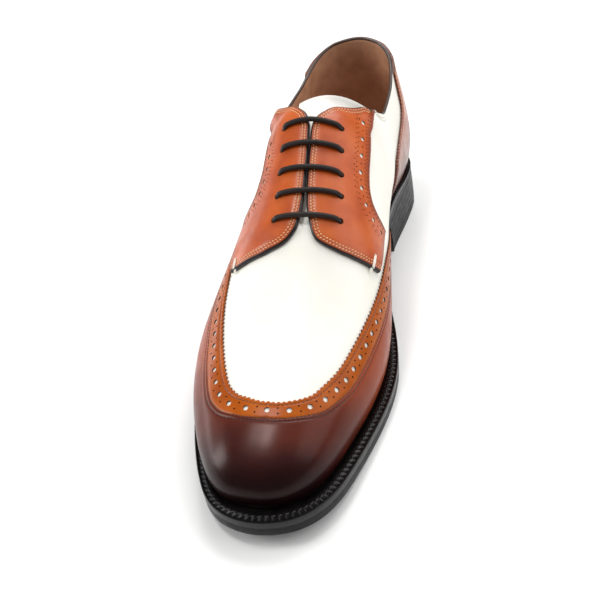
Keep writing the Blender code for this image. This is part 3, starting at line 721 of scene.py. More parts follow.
def thread_piece(name, stitches, finish, rounds=6, slices=4):
    """Rounded grains, one for each stitch, made a few dozen at a time because that is quicker."""
    joined = bmesh.new()
    for first in range(0, len(stitches), STITCH_BATCH):
        few = bmesh.new()
        for grain in stitches[first:first + STITCH_BATCH]:
            bmesh.ops.create_uvsphere(few, u_segments=rounds, v_segments=slices, radius=1.0, matrix=grain)
        mesh = to_mesh(few, name)
        joined.from_mesh(mesh)
        bpy.data.meshes.remove(mesh)
    mesh = to_mesh(joined, name)
    mesh.materials.append(finish)
    return add_piece(name, mesh)


def linear(red, green, blue):
    """An sRGB colour given in 255ths, as the linear values that shaders take."""
    shares = np.array([red, green, blue]) / 255
    return tuple(np.where(shares <= 0.04045, shares / 12.92, ((shares + 0.055) / 1.055) ** 2.4)) + (1.0,)


def two_tone(dark, pale):
    """Stops of a ramp from a dark to a pale tone, over the range that most of a noise's values lie in."""
    return [(NOISE_LOW, dark), (NOISE_HIGH, pale)]


class Finish:
    """A node material, written with few words for each node."""

    def __init__(self, name, **shine):
        self.material = bpy.data.materials.new(name)
        self.material.use_nodes = True
        self.tree = self.material.node_tree
        self.shader = self.tree.nodes["Principled BSDF"]
        for socket, value in shine.items():
            self.shader.inputs[socket.replace("_", " ")].default_value = value
        self.place = self.node("TexCoord").outputs["Object"]

    def node(self, kind, inputs=None, **settings):
        made = self.tree.nodes.new("ShaderNode" + kind)
        for name, value in settings.items():
            setattr(made, name, value)
        for name, value in (inputs or {}).items():
            if isinstance(value, bpy.types.NodeSocket):
                self.tree.links.new(value, made.inputs[name])
            else:
                made.inputs[name].default_value = value
        return made

    def panel(self):
        """The piece's own map in millimetres: along an edge, away from it."""
        here = self.node("UVMap", uv_map="panel").outputs["UV"]
        parts = self.node("SeparateXYZ", {"Vector": here})
        return here, parts.outputs["X"], parts.outputs["Y"]

    def noise(self, size, detail=3.0):
        inputs = {"Vector": self.place, "Scale": 1 / (size * MM), "Detail": detail}
        return self.node("TexNoise", inputs).outputs["Fac"]

    def cells(self, size):
        return self.node("TexVoronoi", {"Vector": self.place, "Scale": 1 / (size * MM)}).outputs["Distance"]

    def spread(self, value, low, high, to_low=0.0, to_high=1.0):
        inputs = {"Value": value, "From Min": low, "From Max": high, "To Min": to_low, "To Max": to_high}
        return self.node("MapRange", inputs, interpolation_type="SMOOTHSTEP").outputs["Result"]

    def math(self, operation, first, second=0.0):
        return self.node("Math", {0: first, 1: second}, operation=operation).outputs["Value"]

    def mix(self, share, first, second):
        made = self.node("Mix", {0: share, 6: first, 7: second}, data_type="RGBA")
        return made.outputs[2]

    def ramp(self, share, stops):
        made = self.node("ValToRGB", {"Fac": share})
        elements = made.color_ramp.elements
        while len(elements) < len(stops):
            elements.new(1.0)
        for element, (position, colour) in zip(elements, stops):
            element.position = position
            element.color = colour
        return made.outputs["Color"]

    def distance(self, point, stretch):
        """Distance from a point, with each axis stretched."""
        scaled = self.node("VectorMath", {0: self.place, 1: stretch}, operation="MULTIPLY").outputs["Vector"]
        centre = tuple(np.array(point) * stretch)
        return self.node("VectorMath", {0: scaled, 1: centre}, operation="DISTANCE").outputs["Value"]

    def colour(self, socket):
        self.tree.links.new(socket, self.shader.inputs["Base Color"])

    def tint(self, size, detail, stops):
        """Colour that wanders over a ramp with noise of a size in mm."""
        self.colour(self.ramp(self.noise(size, detail), stops))

    def gloss(self, size, low, high):
        """Roughness that wanders between two values with noise of a size in mm."""
        socket = self.spread(self.noise(size), NOISE_LOW, NOISE_HIGH, low, high)
        self.tree.links.new(socket, self.shader.inputs["Roughness"])

    def bump(self, heights):
        """Bumps stacked on each other: rows of height, depth in mm and strength."""
        normal = None
        for height, depth, strength in heights:
            inputs = {"Height": height, "Distance": depth * MM, "Strength": strength}
            if normal:
                inputs["Normal"] = normal
            normal = self.node("Bump", inputs).outputs["Normal"]
        self.tree.links.new(normal, self.shader.inputs["Normal"])

    def calf_grain(self, depth):
        """The close grain of polished calf with its faint pores."""
        self.bump([(self.noise(2.2, 4.0), depth, 0.35), (self.cells(0.55), 0.5 * depth, 0.4)])


def white_calf():
    finish = Finish("white_calf", Coat_Weight=0.12, Coat_Roughness=0.3)
    finish.tint(28.0, 3.0, two_tone(linear(240, 237, 226), linear(246, 244, 236)))
    finish.gloss(6.0, 0.38, 0.5)
    finish.calf_grain(0.05)
    return finish.material


def tan_calf():
    """Cognac calf of the facings, with darker polish towards its edges."""
    finish = Finish("tan_calf", Specular_IOR_Level=0.3, Coat_Weight=0.25, Coat_Roughness=0.25)
    _, from_front, inside = finish.panel()
    stops = [(0.25, linear(154, 58, 12)), (0.5, linear(182, 78, 20)), (0.75, linear(198, 96, 34))]
    body = finish.ramp(finish.noise(16.0, 4.0), stops)
    worked = finish.spread(inside, 0.3, 5.5, 0.6, 0.0)
    polished = finish.mix(worked, body, linear(122, 46, 12))
    painted = finish.spread(from_front, 0.85, 1.15, 1.0, 0.0)
    finish.colour(finish.mix(painted, polished, linear(20, 10, 8)))
    finish.gloss(5.0, 0.3, 0.44)
    finish.calf_grain(0.06)
    return finish.material


def wing_calf():
    """Wing leather: cognac band above the double seam, brown below it, burnished to near black at the toe."""
    finish = Finish("wing_calf", Specular_IOR_Level=0.12, Specular_Tint=(1.0, 0.5, 0.4, 1.0),
                    Coat_Weight=0.24, Coat_Roughness=0.24)
    _, _, down = finish.panel()
    stops = [(0.25, linear(144, 62, 6)), (0.5, linear(162, 76, 8)), (0.75, linear(176, 90, 16))]
    band = finish.ramp(finish.noise(14.0, 4.0), stops)
    from_toe = finish.distance(placed((5.0, 303.0, 10.0)), (0.6, 1.0, 1.3))
    uneven = finish.math("MULTIPLY", finish.noise(22.0, 3.0), 0.02)
    burnish = finish.spread(finish.math("ADD", from_toe, uneven), 0.03, 0.105)
    stops = [(0.0, linear(18, 2, 4)), (0.07, linear(30, 5, 6)), (0.16, linear(44, 9, 9)),
             (0.33, linear(76, 28, 19)), (0.6, linear(94, 38, 22)), (0.8, linear(118, 48, 24)),
             (1.0, linear(146, 62, 28))]
    lower = finish.ramp(burnish, stops)
    below_seam = finish.spread(down, 9.7, 10.9)
    finish.colour(finish.mix(below_seam, band, lower))
    finish.gloss(7.0, 0.28, 0.4)
    finish.calf_grain(0.035)
    return finish.material


def counter_calf():
    """Counter leather, paler towards the collar."""
    finish = Finish("counter_calf", Specular_IOR_Level=0.35, Coat_Weight=0.3, Coat_Roughness=0.22)
    height = finish.node("SeparateXYZ", {"Vector": finish.place}).outputs["Z"]
    cloud = finish.math("MULTIPLY", finish.noise(14.0, 4.0), 0.03)
    rise = finish.spread(finish.math("ADD", height, cloud), 0.04, 0.115)
    stops = [(0.0, linear(92, 42, 26)), (0.45, linear(148, 78, 50)), (1.0, linear(186, 110, 76))]
    finish.colour(finish.ramp(rise, stops))
    finish.gloss(6.0, 0.28, 0.42)
    finish.calf_grain(0.05)
    return finish.material


def dyed_edge(name, dark, pale, shine=0.42):
    """Cut edges, dyed and waxed."""
    finish = Finish(name, Coat_Weight=0.2, Coat_Roughness=0.35)
    finish.tint(1.6, 4.0, [(0.3, linear(*dark)), (0.75, linear(*pale))])
    finish.gloss(2.5, shine - 0.08, shine + 0.12)
    finish.bump([(finish.noise(0.5, 4.0), 0.08, 0.5)])
    return finish.material


def lining_hide(name, dark, pale):
    """Matt lining and sock leather with open pores."""
    finish = Finish(name)
    finish.tint(9.0, 5.0, two_tone(dark, pale))
    finish.gloss(3.0, 0.58, 0.74)
    finish.bump([(finish.noise(1.8, 4.0), 0.08, 0.4), (finish.cells(0.9), 0.06, 0.5)])
    return finish.material


def sole_edge(name, dark, pale, low_shine, high_shine, coat):
    """Black inked and waxed sole leather, with faint lines from the trimming tool."""
    finish = Finish(name, Specular_IOR_Level=0.12, Coat_Weight=coat, Coat_Roughness=0.25)
    mapping = finish.node("Mapping", {"Vector": finish.place, "Scale": (60.0, 60.0, 900.0)})
    inputs = {"Vector": mapping.outputs["Vector"], "Scale": 1.0, "Detail": 3.0}
    lines = finish.node("TexNoise", inputs).outputs["Fac"]
    finish.tint(6.0, 4.0, two_tone(dark, pale))
    finish.gloss(4.0, low_shine, high_shine)
    finish.bump([(lines, 0.04, 0.3), (finish.noise(0.7, 3.0), 0.05, 0.4)])
    return finish.material


def heel_rubber():
    finish = Finish("heel_rubber_finish")
    finish.tint(5.0, 4.0, two_tone(linear(22, 22, 24), linear(38, 37, 38)))
    finish.gloss(2.0, 0.6, 0.78)
    finish.bump([(finish.noise(0.4, 3.0), 0.05, 0.5)])
    return finish.material


def waxed_cord():
    """Round braided cotton, waxed: two sets of strands crossing on the cord's own map, with painted shade
    darkening the grooves between the strands.
    """
    finish = Finish("waxed_cord", Specular_IOR_Level=0.25, Coat_Weight=0.05, Coat_Roughness=0.4)
    here, _, _ = finish.panel()
    strands = []
    for turn in (0.62, -0.62):
        mapping = finish.node("Mapping", {"Vector": here, "Rotation": (0.0, 0.0, turn)})
        inputs = {"Vector": mapping.outputs["Vector"], "Scale": 0.36, "Distortion": 0.4}
        strands.append(finish.node("TexWave", inputs, bands_direction="X").outputs["Fac"])
    braid = finish.math("MAXIMUM", strands[0], strands[1])
    # Painted shade: the colour follows the braid's height, dark in the grooves between strands and paler on
    # their crowns.
    finish.colour(finish.ramp(braid, [(0.2, linear(16, 10, 9)), (0.9, linear(40, 31, 29))]))
    finish.gloss(1.5, 0.42, 0.6)
    finish.bump([(braid, 0.12, 0.6), (finish.noise(0.25, 2.0), 0.03, 0.4)])
    return finish.material


def sewing_thread(name, dark, pale):
    finish = Finish(name, Sheen_Weight=0.2)
    finish.tint(0.8, 3.0, two_tone(linear(*dark), linear(*pale)))
    finish.gloss(1.0, 0.5, 0.7)
    finish.bump([(finish.noise(0.2, 2.0), 0.05, 0.6)])
    return finish.material


WHITE = white_calf()
TAN = tan_calf()
WING = wing_calf()
COUNTER = counter_calf()
FLAP_EDGE = dyed_edge("flap_edge", (20, 14, 12), (44, 32, 28))
WING_CUT = dyed_edge("wing_cut", (78, 36, 18), (122, 62, 32), 0.55)
HOLE_CUT = dyed_edge("hole_cut", (138, 74, 36), (190, 122, 76), 0.6)
WHITE_CUT = dyed_edge("white_cut", (196, 190, 176), (226, 222, 210), 0.6)
COLLAR_CORD = dyed_edge("collar_cord", (34, 22, 17), (74, 50, 38))
LINING = lining_hide("quarter_lining", linear(176, 126, 96), linear(200, 150, 116))
SOCK = lining_hide("sock_hide", linear(160, 112, 80), linear(188, 138, 100))
SOLE = sole_edge("sole_ink", linear(14, 14, 17), linear(30, 30, 34), 0.34, 0.46, 0.05)
WELT = sole_edge("welt_ink", linear(9, 8, 8), linear(20, 18, 18), 0.24, 0.36, 0.35)
RUBBER = heel_rubber()
CORD = waxed_cord()
THREADS = {
    "cream": sewing_thread("cream_thread", (206, 146, 96), (232, 184, 136)),
    "brown": sewing_thread("brown_thread", (34, 18, 14), (62, 36, 28)),
    "russet": sewing_thread("russet_thread", (84, 34, 14), (118, 54, 26)),
    "white": sewing_thread("white_thread", (226, 222, 208), (246, 243, 232)),
    "black": sewing_thread("black_thread", (10, 9, 9), (30, 27, 27)),
}


def make_upper():
    """Vamp and quarters: one wall with its lining, open at the collar and along the throat."""
    share = np.linspace(-1, 1, UPPER_COLUMNS + 1)
    sides = np.where(share < 0, -1, 1)[:, None]
    t = crowded(np.abs(share), UPPER_CROWDING)[:, None]
    b = np.linspace(0, 1, UPPER_ROWS + 1)[None, :]
    v = top_edge(t) * b
    troughs = np.zeros(np.broadcast(t, v).shape)
    for side, at_t, at_v, half_t, half_v, depth in TROUGHS:
        shape = np.exp(-((t - at_t) / half_t) ** 2 - ((v - at_v) / half_v) ** 2)
        troughs += np.where(sides == side, depth * shape, 0.0)
    top = skin(sides, t, top_edge(t) + 0 * v, 0.0)
    to_top = np.linalg.norm(skin(sides, t, v, 0.0) - top, axis=-1)
    drop = edge_drop(to_top) * soft_step(t, *THROAT_OPENS)
    high = skin(sides, t, v, -troughs - drop)
    low = skin(sides, t, v, -UPPER_WALL - 0.5 * troughs + drop)
    closed = t[:, 0] < THROAT_OPENS[0]
    for layer in (high, low):
        layer[closed, -1] = 0.5 * (layer[closed, -1] + layer[::-1][closed, -1])
        layer[[0, -1]] = layer[[0, -1]].mean(axis=0)
    uv = stacked(sides * t * last.girth, to_top)
    mesh = shell("upper_leather", low, high, uv, [WHITE, WHITE_CUT, LINING])
    add_piece("upper_leather", mesh, ["upper"])


def tongue_points(across, b, depth):
    """Points at a depth below the tongue's face. It lies under the throat, and its top stands in an arc."""
    ridge_t = np.linspace(last.t[FIRST_RIDGE_RIB], last.t[LAST_RIDGE_RIB], LINE_SAMPLES)
    ridge_along = last.column["top_along"](ridge_t)
    below_top = np.clip((b - TONGUE_FREE) / (1 - TONGUE_FREE), 0, 1)
    along = TONGUE_SEAT + (TONGUE_BASE - TONGUE_SEAT) * below_top
    t = np.interp(-along, -ridge_along, ridge_t)
    v = 1 - np.abs(across) * TONGUE_HALF / (3 * last.column["reach"](t))
    seated = skin(np.where(across < 0, -1, 1), t, v, TONGUE_TOP - depth)
    middle_x, middle_along, middle_height, back, fall, tilt = TONGUE_ARC
    arc = [middle_x + TONGUE_HALF * across, middle_along - back * across ** 2,
           middle_height - fall * across ** 2 - tilt * across ** 3]
    spread, forward, up = TONGUE_OUTWARD
    outward = stacked(spread * across, forward, up)
    free = np.clip(1 - b / TONGUE_FREE, 0, 1) + 0 * across
    sag = TONGUE_SAG * 4 * free * (1 - free)
    top = np.stack(arc, axis=-1) - outward * (depth + sag)[..., None]
    return seated + (top - seated) * free[..., None]


def make_tongue():
    """The tongue under the facings, rounded at its top edge."""
    across = np.linspace(-1, 1, TONGUE_COLUMNS + 1)[:, None]
    b = np.linspace(0, 1, TONGUE_ROWS + 1)[None, :]
    from_top = cumulative(tongue_points(across, b, 0 * b * across))
    from_edge = np.minimum(from_top, TONGUE_HALF * (1 - np.abs(across)))
    high = tongue_points(across, b, edge_drop(from_edge))
    low = tongue_points(across, b, TONGUE_THICKNESS - edge_drop(from_edge))
    uv = stacked(TONGUE_HALF * across, from_edge)
    mesh = shell("tongue_leather", low, high, uv, [WHITE, WHITE_CUT, LINING])
    add_piece("tongue_leather", mesh, ["tongue"])


class WingEdge:
    """The wing's pinked edge as one line from the lateral tail round the toe to the medial tail."""

    def __init__(self):
        end = WING_EDGE[-1][0]
        self.u = np.linspace(-end, end, EDGE_SAMPLES + 1)
        sides, t, v = self.edge(self.u)
        self.lengths = cumulative(skin(sides, t, v, WING_HIGH))
        self.length = self.lengths[-1]
        self.toe = np.interp(0.0, self.u, self.lengths)

    def edge(self, u):
        """Side, rib and edge height at ribs counted negative on the lateral side."""
        t = np.abs(u)
        return np.where(u < 0, -1, 1), t, np.where(u < 0, wing_edges[-1](t), wing_edges[1](t))

    def rib(self, arc):
        """Side, rib and edge height at a length along the edge."""
        return self.edge(np.interp(arc, self.lengths, self.u))

    def heights(self, arcs, rows):
        """Heights on the ribs at distances below the edge, squeezed to the band's depth and in the tail."""
        sides, t, edge = self.rib(arcs)
        share = np.concatenate([[-ABOVE_EDGE], np.linspace(0, 1, RIB_SAMPLES)])[None, :]
        v = edge[:, None] + (OVERLAY_FOOT - edge)[:, None] * share
        down = cumulative(skin(sides[:, None], t[:, None], v, WING_HIGH))
        down = down - down[:, 1:2]
        band = np.where(sides < 0, band_depths[-1](t), band_depths[1](t)) / WING_SEAMS[1]
        squeeze = np.minimum(1.0, down[:, -1] / WING_TAIL_HEIGHT) * band
        found = [np.interp(row * tight, line, rib) for row, tight, line, rib in zip(rows, squeeze, down, v)]
        return sides, t, np.array(found), down[:, -1] / squeeze


def wing_hole_arcs(edge):
    """Lengths along the edge of the big holes, further apart at the toe, and of the pairs between."""
    arcs = np.linspace(0, edge.length, EDGE_SAMPLES + 1)
    sides, t, v, _ = edge.heights(arcs, np.full((len(arcs), 1), WING_HOLE_LINE))
    lengths = cumulative(skin(sides, t, v[:, 0], WING_HIGH))
    numbers = np.arange(int(edge.length / WING_HOLE_PITCH))
    steps = np.cumsum(WING_HOLE_PITCH + WING_TOE_STRETCH * np.exp(-(numbers / 2) ** 2))
    toe = np.interp(edge.toe, arcs, lengths)
    stops = np.concatenate([toe - steps[::-1], [toe], toe + steps])
    stops = stops[(stops > WING_HOLE_PITCH) & (stops < lengths[-1] - WING_HOLE_PITCH)]
    between = 0.5 * (stops[:-1] + stops[1:])
    return np.interp(stops, lengths, arcs), np.interp(between, lengths, arcs)


def make_wing(edge, underlay):
    """The wing over the toe and along both sides, pinked along its top."""
    teeth = int(edge.length / TOOTH_PITCH)
    arcs = np.linspace(0, edge.length, teeth * TOOTH_COLUMNS + 1)
    _, _, _, depth = edge.heights(arcs, np.zeros((len(arcs), 1)))
    lower = np.linspace(0, 1, WING_LOWER_ROWS + 1)[1:]
    last_row = WING_ROWS[-1]
    design = np.concatenate([np.tile(WING_ROWS, (len(arcs), 1)),
                             last_row + (depth - last_row)[:, None] * lower], axis=1)
    phase = np.arange(len(arcs)) % TOOTH_COLUMNS / TOOTH_COLUMNS
    tooth = TOOTH_DEPTH * (np.abs(2 * phase - 1) - 0.5)[:, None]
    shifted = design + tooth * np.clip(1 - design / TOOTH_FADE, 0, 1)
    sides, t, v, _ = edge.heights(arcs, shifted)
    lift = WING_HIGH - edge_drop(design) - grooves(design, WING_SEAMS)
    high = skin(sides[:, None], t[:, None], v, lift)
    low = skin(sides[:, None], t[:, None], v, WING_LOW)
    uv = stacked(arcs[:, None], design)
    mesh = shell("wing_panel", low, high, uv, [WING, WING_CUT, WING_CUT])
    piece = add_piece("wing_panel", mesh, ["wing_cap"])
    holes = []
    big, between = wing_hole_arcs(edge)
    rows = [(big, WING_HOLE_LINE, BIG_HOLE), (between, WING_HOLE_LINE - PAIR_SPREAD, SMALL_HOLE),
            (between, WING_HOLE_LINE + PAIR_SPREAD, SMALL_HOLE)]
    for stops, line, radius in rows:
        sides, t, v, _ = edge.heights(stops, np.full((len(stops), 1), line))
        places = placed(skin(sides, t, v[:, 0], WING_HIGH))
        above = placed(skin(sides, t, v[:, 0], WING_HIGH + NORMAL_REACH))
        holes.extend(zip(places, above - places, np.full(len(stops), radius)))
    punch(piece, holes, cut_finish=1)
    back_holes(underlay, holes, BIG_HOLE)


def wing_seams(edge, rows):
    """Rows of thread inside the pinked edge and under the band."""
    arcs = np.linspace(WING_SEAM_MARGIN, edge.length - WING_SEAM_MARGIN, SEAM_SAMPLES)
    offsets = (WING_HIGH - GROOVE_DEPTH + THREAD_LIFT, WING_HIGH + NORMAL_REACH)
    for seam, thread in zip(WING_SEAMS, rows):
        sides, t, v, _ = edge.heights(arcs, np.full((len(arcs), 1), seam))
        sew_row(thread, sides, t, v[:, 0], offsets, WING_STITCH)


class Facing:
    """One lace flap: its surface and its outline."""

    def __init__(self, side):
        self.side = side
        self.curves = []
        for table in (FACING_FRONT, FACING_BACK, FACING_TOP):
            t, v = np.array([side_pair(row, side) for row in table]).T
            lengths = cumulative(np.stack([t * last.girth, v * RIB_LENGTH], axis=1))
            steps = lengths / lengths[-1]
            self.curves.append([monotone_curve(steps, t), monotone_curve(steps, v)])

    def rib(self, a, b):
        """Rib and height: a from the throat's top to the lower end, b from the front to the back edge."""
        found = []
        for front, back, top in zip(*self.curves):
            ruled = front(a) * (1 - b) + back(a) * b
            found.append(ruled + (1 - a) ** 2 * (top(b) - front(0.0) * (1 - b) - back(0.0) * b))
        return found

    def points(self, a, b, offset):
        t, v = self.rib(a, b)
        return skin(self.side, t, v, offset)

    def outline(self, offset):
        """Its four edges as lines of points: front, back, top and lower end."""
        run = np.linspace(0, 1, LINE_SAMPLES + 1)
        zero = np.zeros_like(run)
        return {"front": self.points(run, zero, offset), "back": self.points(run, zero + 1, offset),
                "top": self.points(zero, run, offset), "end": self.points(zero + 1, run, offset)}


def nearest_distance(points, line):
    """Distance of each point of a sheet from the nearest point of a line."""
    flat = points.reshape(-1, 3)
    nearest = [np.linalg.norm(line - point, axis=1).min() for point in flat]
    return np.array(nearest).reshape(points.shape[:-1])


def beside(line, above, distance, inward_of):
    """A line on a panel's edge moved inward by a distance. The second line lies above it on the normals."""
    world = placed(line)
    run = np.gradient(world, axis=0)
    inward = np.cross(placed(above) - world, run)
    inward /= np.linalg.norm(inward, axis=1, keepdims=True)
    middle = placed(inward_of)
    sign = np.sign(np.sum((middle - world) * inward, axis=1).mean())
    moved = world + sign * inward * distance * MM
    return moved[nearest_distance(moved, world) > CORNER_TRIM * distance * MM]


def make_facing(side, cream, brown, underlay):
    """A lace flap with a thick dyed edge, twin rows of stitches, eyelets and a brogued back edge."""
    facing = Facing(side)
    edges = facing.outline(FACING_HIGH)
    raised = facing.outline(FACING_HIGH + NORMAL_REACH)
    a = crowded(np.linspace(0, 1, FACING_COLUMNS + 1), FACING_CROWDING[0])[:, None]
    b = crowded(np.linspace(0, 1, FACING_ROWS + 1), FACING_CROWDING[1])[None, :]
    flat = facing.points(a, b, FACING_HIGH)
    from_edge = {name: nearest_distance(flat, line) for name, line in edges.items()}
    rounding = np.minimum.reduce(list(from_edge.values()))
    sewn = np.minimum(from_edge["front"], from_edge["top"])
    full = soft_step(from_edge["back"], *FACING_SKIVE)
    roll = FLAP_DROP * np.clip(1 - sewn / FLAP_ROUNDING, 0, 1) ** 2
    lift = FACING_BACK_HIGH + (FACING_HIGH - FACING_BACK_HIGH) * full - roll
    lift = lift - edge_drop(rounding) - grooves(sewn, FACING_SEAMS)
    high = facing.points(a, b, lift)
    low = facing.points(a, b, FACING_LOW)
    uv = np.stack([sewn, rounding], axis=-1)
    name = "facing_panel_lateral" if side < 0 else "facing_panel_medial"
    mesh = shell(name, low, high, uv, [TAN, FLAP_EDGE, FLAP_EDGE, HOLE_CUT])
    node = "facing_lateral" if side < 0 else "facing_medial"
    piece = add_piece(name, mesh, [node])
    tree = BVHTree.FromObject(piece, bpy.context.evaluated_depsgraph_get())
    middle = facing.points(np.array(0.5), np.array(0.5), FACING_HIGH)
    open_edge = [np.concatenate([line["top"][::-1], line["front"][1:]]) for line in (edges, raised)]
    back_edge = [edges["back"], raised["back"]]
    rows = [(open_edge, seam, cream, FACING_STITCH, side * STITCH_SLANT) for seam in FACING_SEAMS]
    rows.append((back_edge, FACING_BACK_SEAM, brown, WING_STITCH, 0.0))
    for line, seam, thread, stitch, slant in rows:
        places, runs = walk(beside(*line, seam, middle), stitch[0] * MM)
        places, normals = snapped(tree, places)
        sew(thread, places, normals, runs, stitch, slant)
    holes = facing_holes(back_edge, tree, middle, side)
    punch(piece, holes, cut_finish=3)
    back_holes(underlay, holes, FACING_HOLE)


def facing_holes(back_edge, tree, middle, side):
    """Eyelets, the big brogue holes along the back edge and the rows of dots beside them."""
    holes = []
    for bar in LACE_BARS:
        t, v = side_pair(bar, side)
        spots, normals = snapped(tree, placed(skin(side, np.array([t]), np.array([v]), FACING_HIGH)))
        holes.append((spots[0], normals[0], EYELET))
    big = np.array(FACING_HOLE_SHARES)
    between = 0.5 * (big[:-1] + big[1:])
    lines = [(FACING_HOLE_LINE, big, FACING_HOLE), (FACING_HOLE_LINE, between, SMALL_HOLE)]
    count = int(cumulative(back_edge[0])[-1] / FACING_DOT_PITCH)
    dots = np.linspace(*FACING_DOT_SPAN, count)
    lines.extend((line, dots, FACING_DOT) for line in FACING_DOT_LINES)
    for distance, shares, radius in lines:
        line = beside(*back_edge, distance, middle)
        lengths = cumulative(line)
        spots, normals = snapped(tree, at_lengths(line, lengths, shares * lengths[-1]))
        holes.extend(zip(spots, normals, np.full(len(spots), radius)))
    return holes


def make_counter(brown):
    """The panel round the back of the heel, pinked down both front edges."""
    share = np.linspace(-1, 1, COUNTER_COLUMNS + 1)
    from_back = (1 - (1 - np.abs(share)) ** COUNTER_CROWDING)[:, None]
    v_line = np.linspace(OVERLAY_FOOT, COUNTER_TOP, SEAM_SAMPLES)
    medial = skin(1, counter_edge(v_line), v_line, COUNTER_HIGH)
    length = cumulative(medial)[-1]
    rows = int(length / TOOTH_PITCH) * COUNTER_TOOTH_ROWS
    b = np.interp(np.linspace(0, length, rows + 1), cumulative(medial), v_line)[None, :]
    phase = np.arange(rows + 1) % COUNTER_TOOTH_ROWS / COUNTER_TOOTH_ROWS
    tooth = TOOTH_DEPTH * np.abs(2 * phase - 1)[None, :] / last.girth
    sides = np.where(share < 0, -1, 1)[:, None]
    width = 1 - counter_edge(b)
    inside = (1 - from_back) * width
    fade = TOOTH_FADE / last.girth
    t = 1 - from_back * width
    t = t + tooth * np.clip(1 - inside / fade, 0, 1)
    from_front = inside * last.girth
    lift = COUNTER_HIGH - edge_drop(from_front) - grooves(from_front, COUNTER_SEAMS)
    v = b - COUNTER_SINK * soft_step(t, *HEEL_SEAT) * (1 - b) ** COUNTER_SINK_POWER
    high = skin(sides, t, v, lift)
    low = skin(sides, t, v, COUNTER_LOW)
    uv = stacked(b * length, from_front)
    mesh = shell("counter_panel", low, high, uv, [COUNTER, WING_CUT, WING_CUT])
    add_piece("counter_panel", mesh, ["heel_counter"])
    offsets = (COUNTER_HIGH - GROOVE_DEPTH + THREAD_LIFT, COUNTER_HIGH + NORMAL_REACH)
    for side in (-1, 1):
        for seam in COUNTER_SEAMS:
            sew_row(brown, side, counter_edge(v_line) + seam / last.girth, v_line, offsets, WING_STITCH)


def make_collar_binding():
    """A thin dark rolled edge along the collar, from one facing round the heel to the other."""
    run = np.linspace(COLLAR_FRONT, 1.0, COLLAR_SAMPLES)
    t = np.concatenate([run, run[-2::-1]])
    sides = np.concatenate([np.full(len(run), -1), np.full(len(run) - 1, 1)])
    line = skin(sides, t, top_edge(t), -UPPER_WALL / 2)
    lengths = cumulative(line)
    path = at_lengths(line, lengths, np.arange(0.0, lengths[-1], COLLAR_STEP))
    mesh = tube("collar_binding", path, COLLAR_RADIUS, COLLAR_SIDES, COLLAR_CORD)
    add_piece("collar_binding", mesh)


def smooth_path(corners, step):
    """A line through the corners with rounded turns."""
    corners = np.array(corners)
    keep = [corners[0]]
    for first, second in zip(corners[:-1], corners[1:]):
        count = max(int(np.linalg.norm(second - first) / step), 1)
        keep.extend(first + (second - first) * k / count for k in range(1, count + 1))
    line = np.array(keep)
    for _ in range(LACE_SMOOTHING):
        line[1:-1] = 0.25 * line[:-2] + 0.5 * line[1:-1] + 0.25 * line[2:]
    return line


def lace_bar(number, from_side):
    """Points of one bar over the facings, from an eyelet on one side to the eyelet on the other."""
    lateral_t, lateral_v, medial_t, medial_v = LACE_BARS[number - 1]
    over = FACING_HIGH + LACE_REST + LACE_RADIUS
    steps = np.linspace(-1, 1, LACE_BAR_SAMPLES)
    share = (steps + 1) / 2
    t = lateral_t + (medial_t - lateral_t) * share
    sides = np.where(steps < 0, -1, 1)
    v = 1 - np.abs(steps) * (1 - np.where(steps < 0, lateral_v, medial_v))
    sink = soft_step(np.abs(steps), LACE_DIP_START, 1.0) * (LACE_RADIUS + LACE_REST + LACE_DIP)
    points = skin(sides, t, v, over - sink)
    return points if from_side < 0 else points[::-1]


def lace_under(first, second, side, shift):
    """Hidden run under a facing from one eyelet to another, moved aside so that runs lie side by side."""
    start = side_pair(LACE_BARS[first - 1], side)
    end = side_pair(LACE_BARS[second - 1], side)
    share = np.linspace(0, 1, LACE_UNDER_SAMPLES)
    t = start[0] + (end[0] - start[0]) * share
    v = start[1] + (end[1] - start[1]) * share + shift * np.sin(np.pi * share)
    return skin(side, t, v, LACE_UNDER + 0 * t)


def make_lace():
    """One lace: straight bars over the flaps, hidden runs beneath them, ends under the top eyelets."""
    lateral_end = lace_under(1, 1, -1, 0.0)[:1]
    medial_end = lace_under(2, 2, 1, 0.0)[:1]
    route = [lateral_end, lace_bar(1, -1), lace_under(1, 3, 1, 0.0), lace_bar(3, 1),
             lace_under(3, 5, -1, LACE_ASIDE), lace_bar(5, -1), lace_under(5, 4, 1, 0.0), lace_bar(4, 1),
             lace_under(4, 2, -1, -LACE_ASIDE), lace_bar(2, -1), medial_end]
    path = smooth_path(np.concatenate(route), LACE_STEP)
    mesh = tube("lace", path, LACE_RADIUS, LACE_SIDES, CORD)
    bars = ["lace_bar_%d" % number for number in range(1, len(LACE_BARS) + 1)]
    add_piece("lace", mesh, bars)


def round_edges(mesh, width):
    """Round the hard edges of a sole layer."""
    builder = bmesh.new()
    builder.from_mesh(mesh)
    hard = [edge for edge in builder.edges if edge.is_manifold and edge.calc_face_angle() > BEVEL_ANGLE]
    bmesh.ops.bevel(builder, geom=hard, offset=width * MM, offset_type="OFFSET", segments=ROUNDING_SEGMENTS,
                    profile=0.5, affect="EDGES", material=-1, clamp_overlap=True)
    builder.to_mesh(mesh)
    builder.free()


def sole_layer(name, low_plan, high_plan, low, high, rounding, finish):
    """A layer of the sole between two outlines at two heights, with rounded edges."""
    bottom = np.concatenate([low_plan, low(low_plan[..., 1])[..., None]], axis=-1)
    top = np.concatenate([high_plan, high(high_plan[..., 1])[..., None]], axis=-1)
    mesh = shell(name, bottom, top, high_plan, [finish] * 3)
    round_edges(mesh, rounding)
    return mesh


def between_edges(edges, rows):
    """A plan sheet from the lateral to the medial edge."""
    b = np.linspace(0, 1, rows + 1)[None, :, None]
    return edges[0][:, None] * (1 - b) + edges[1][:, None] * b


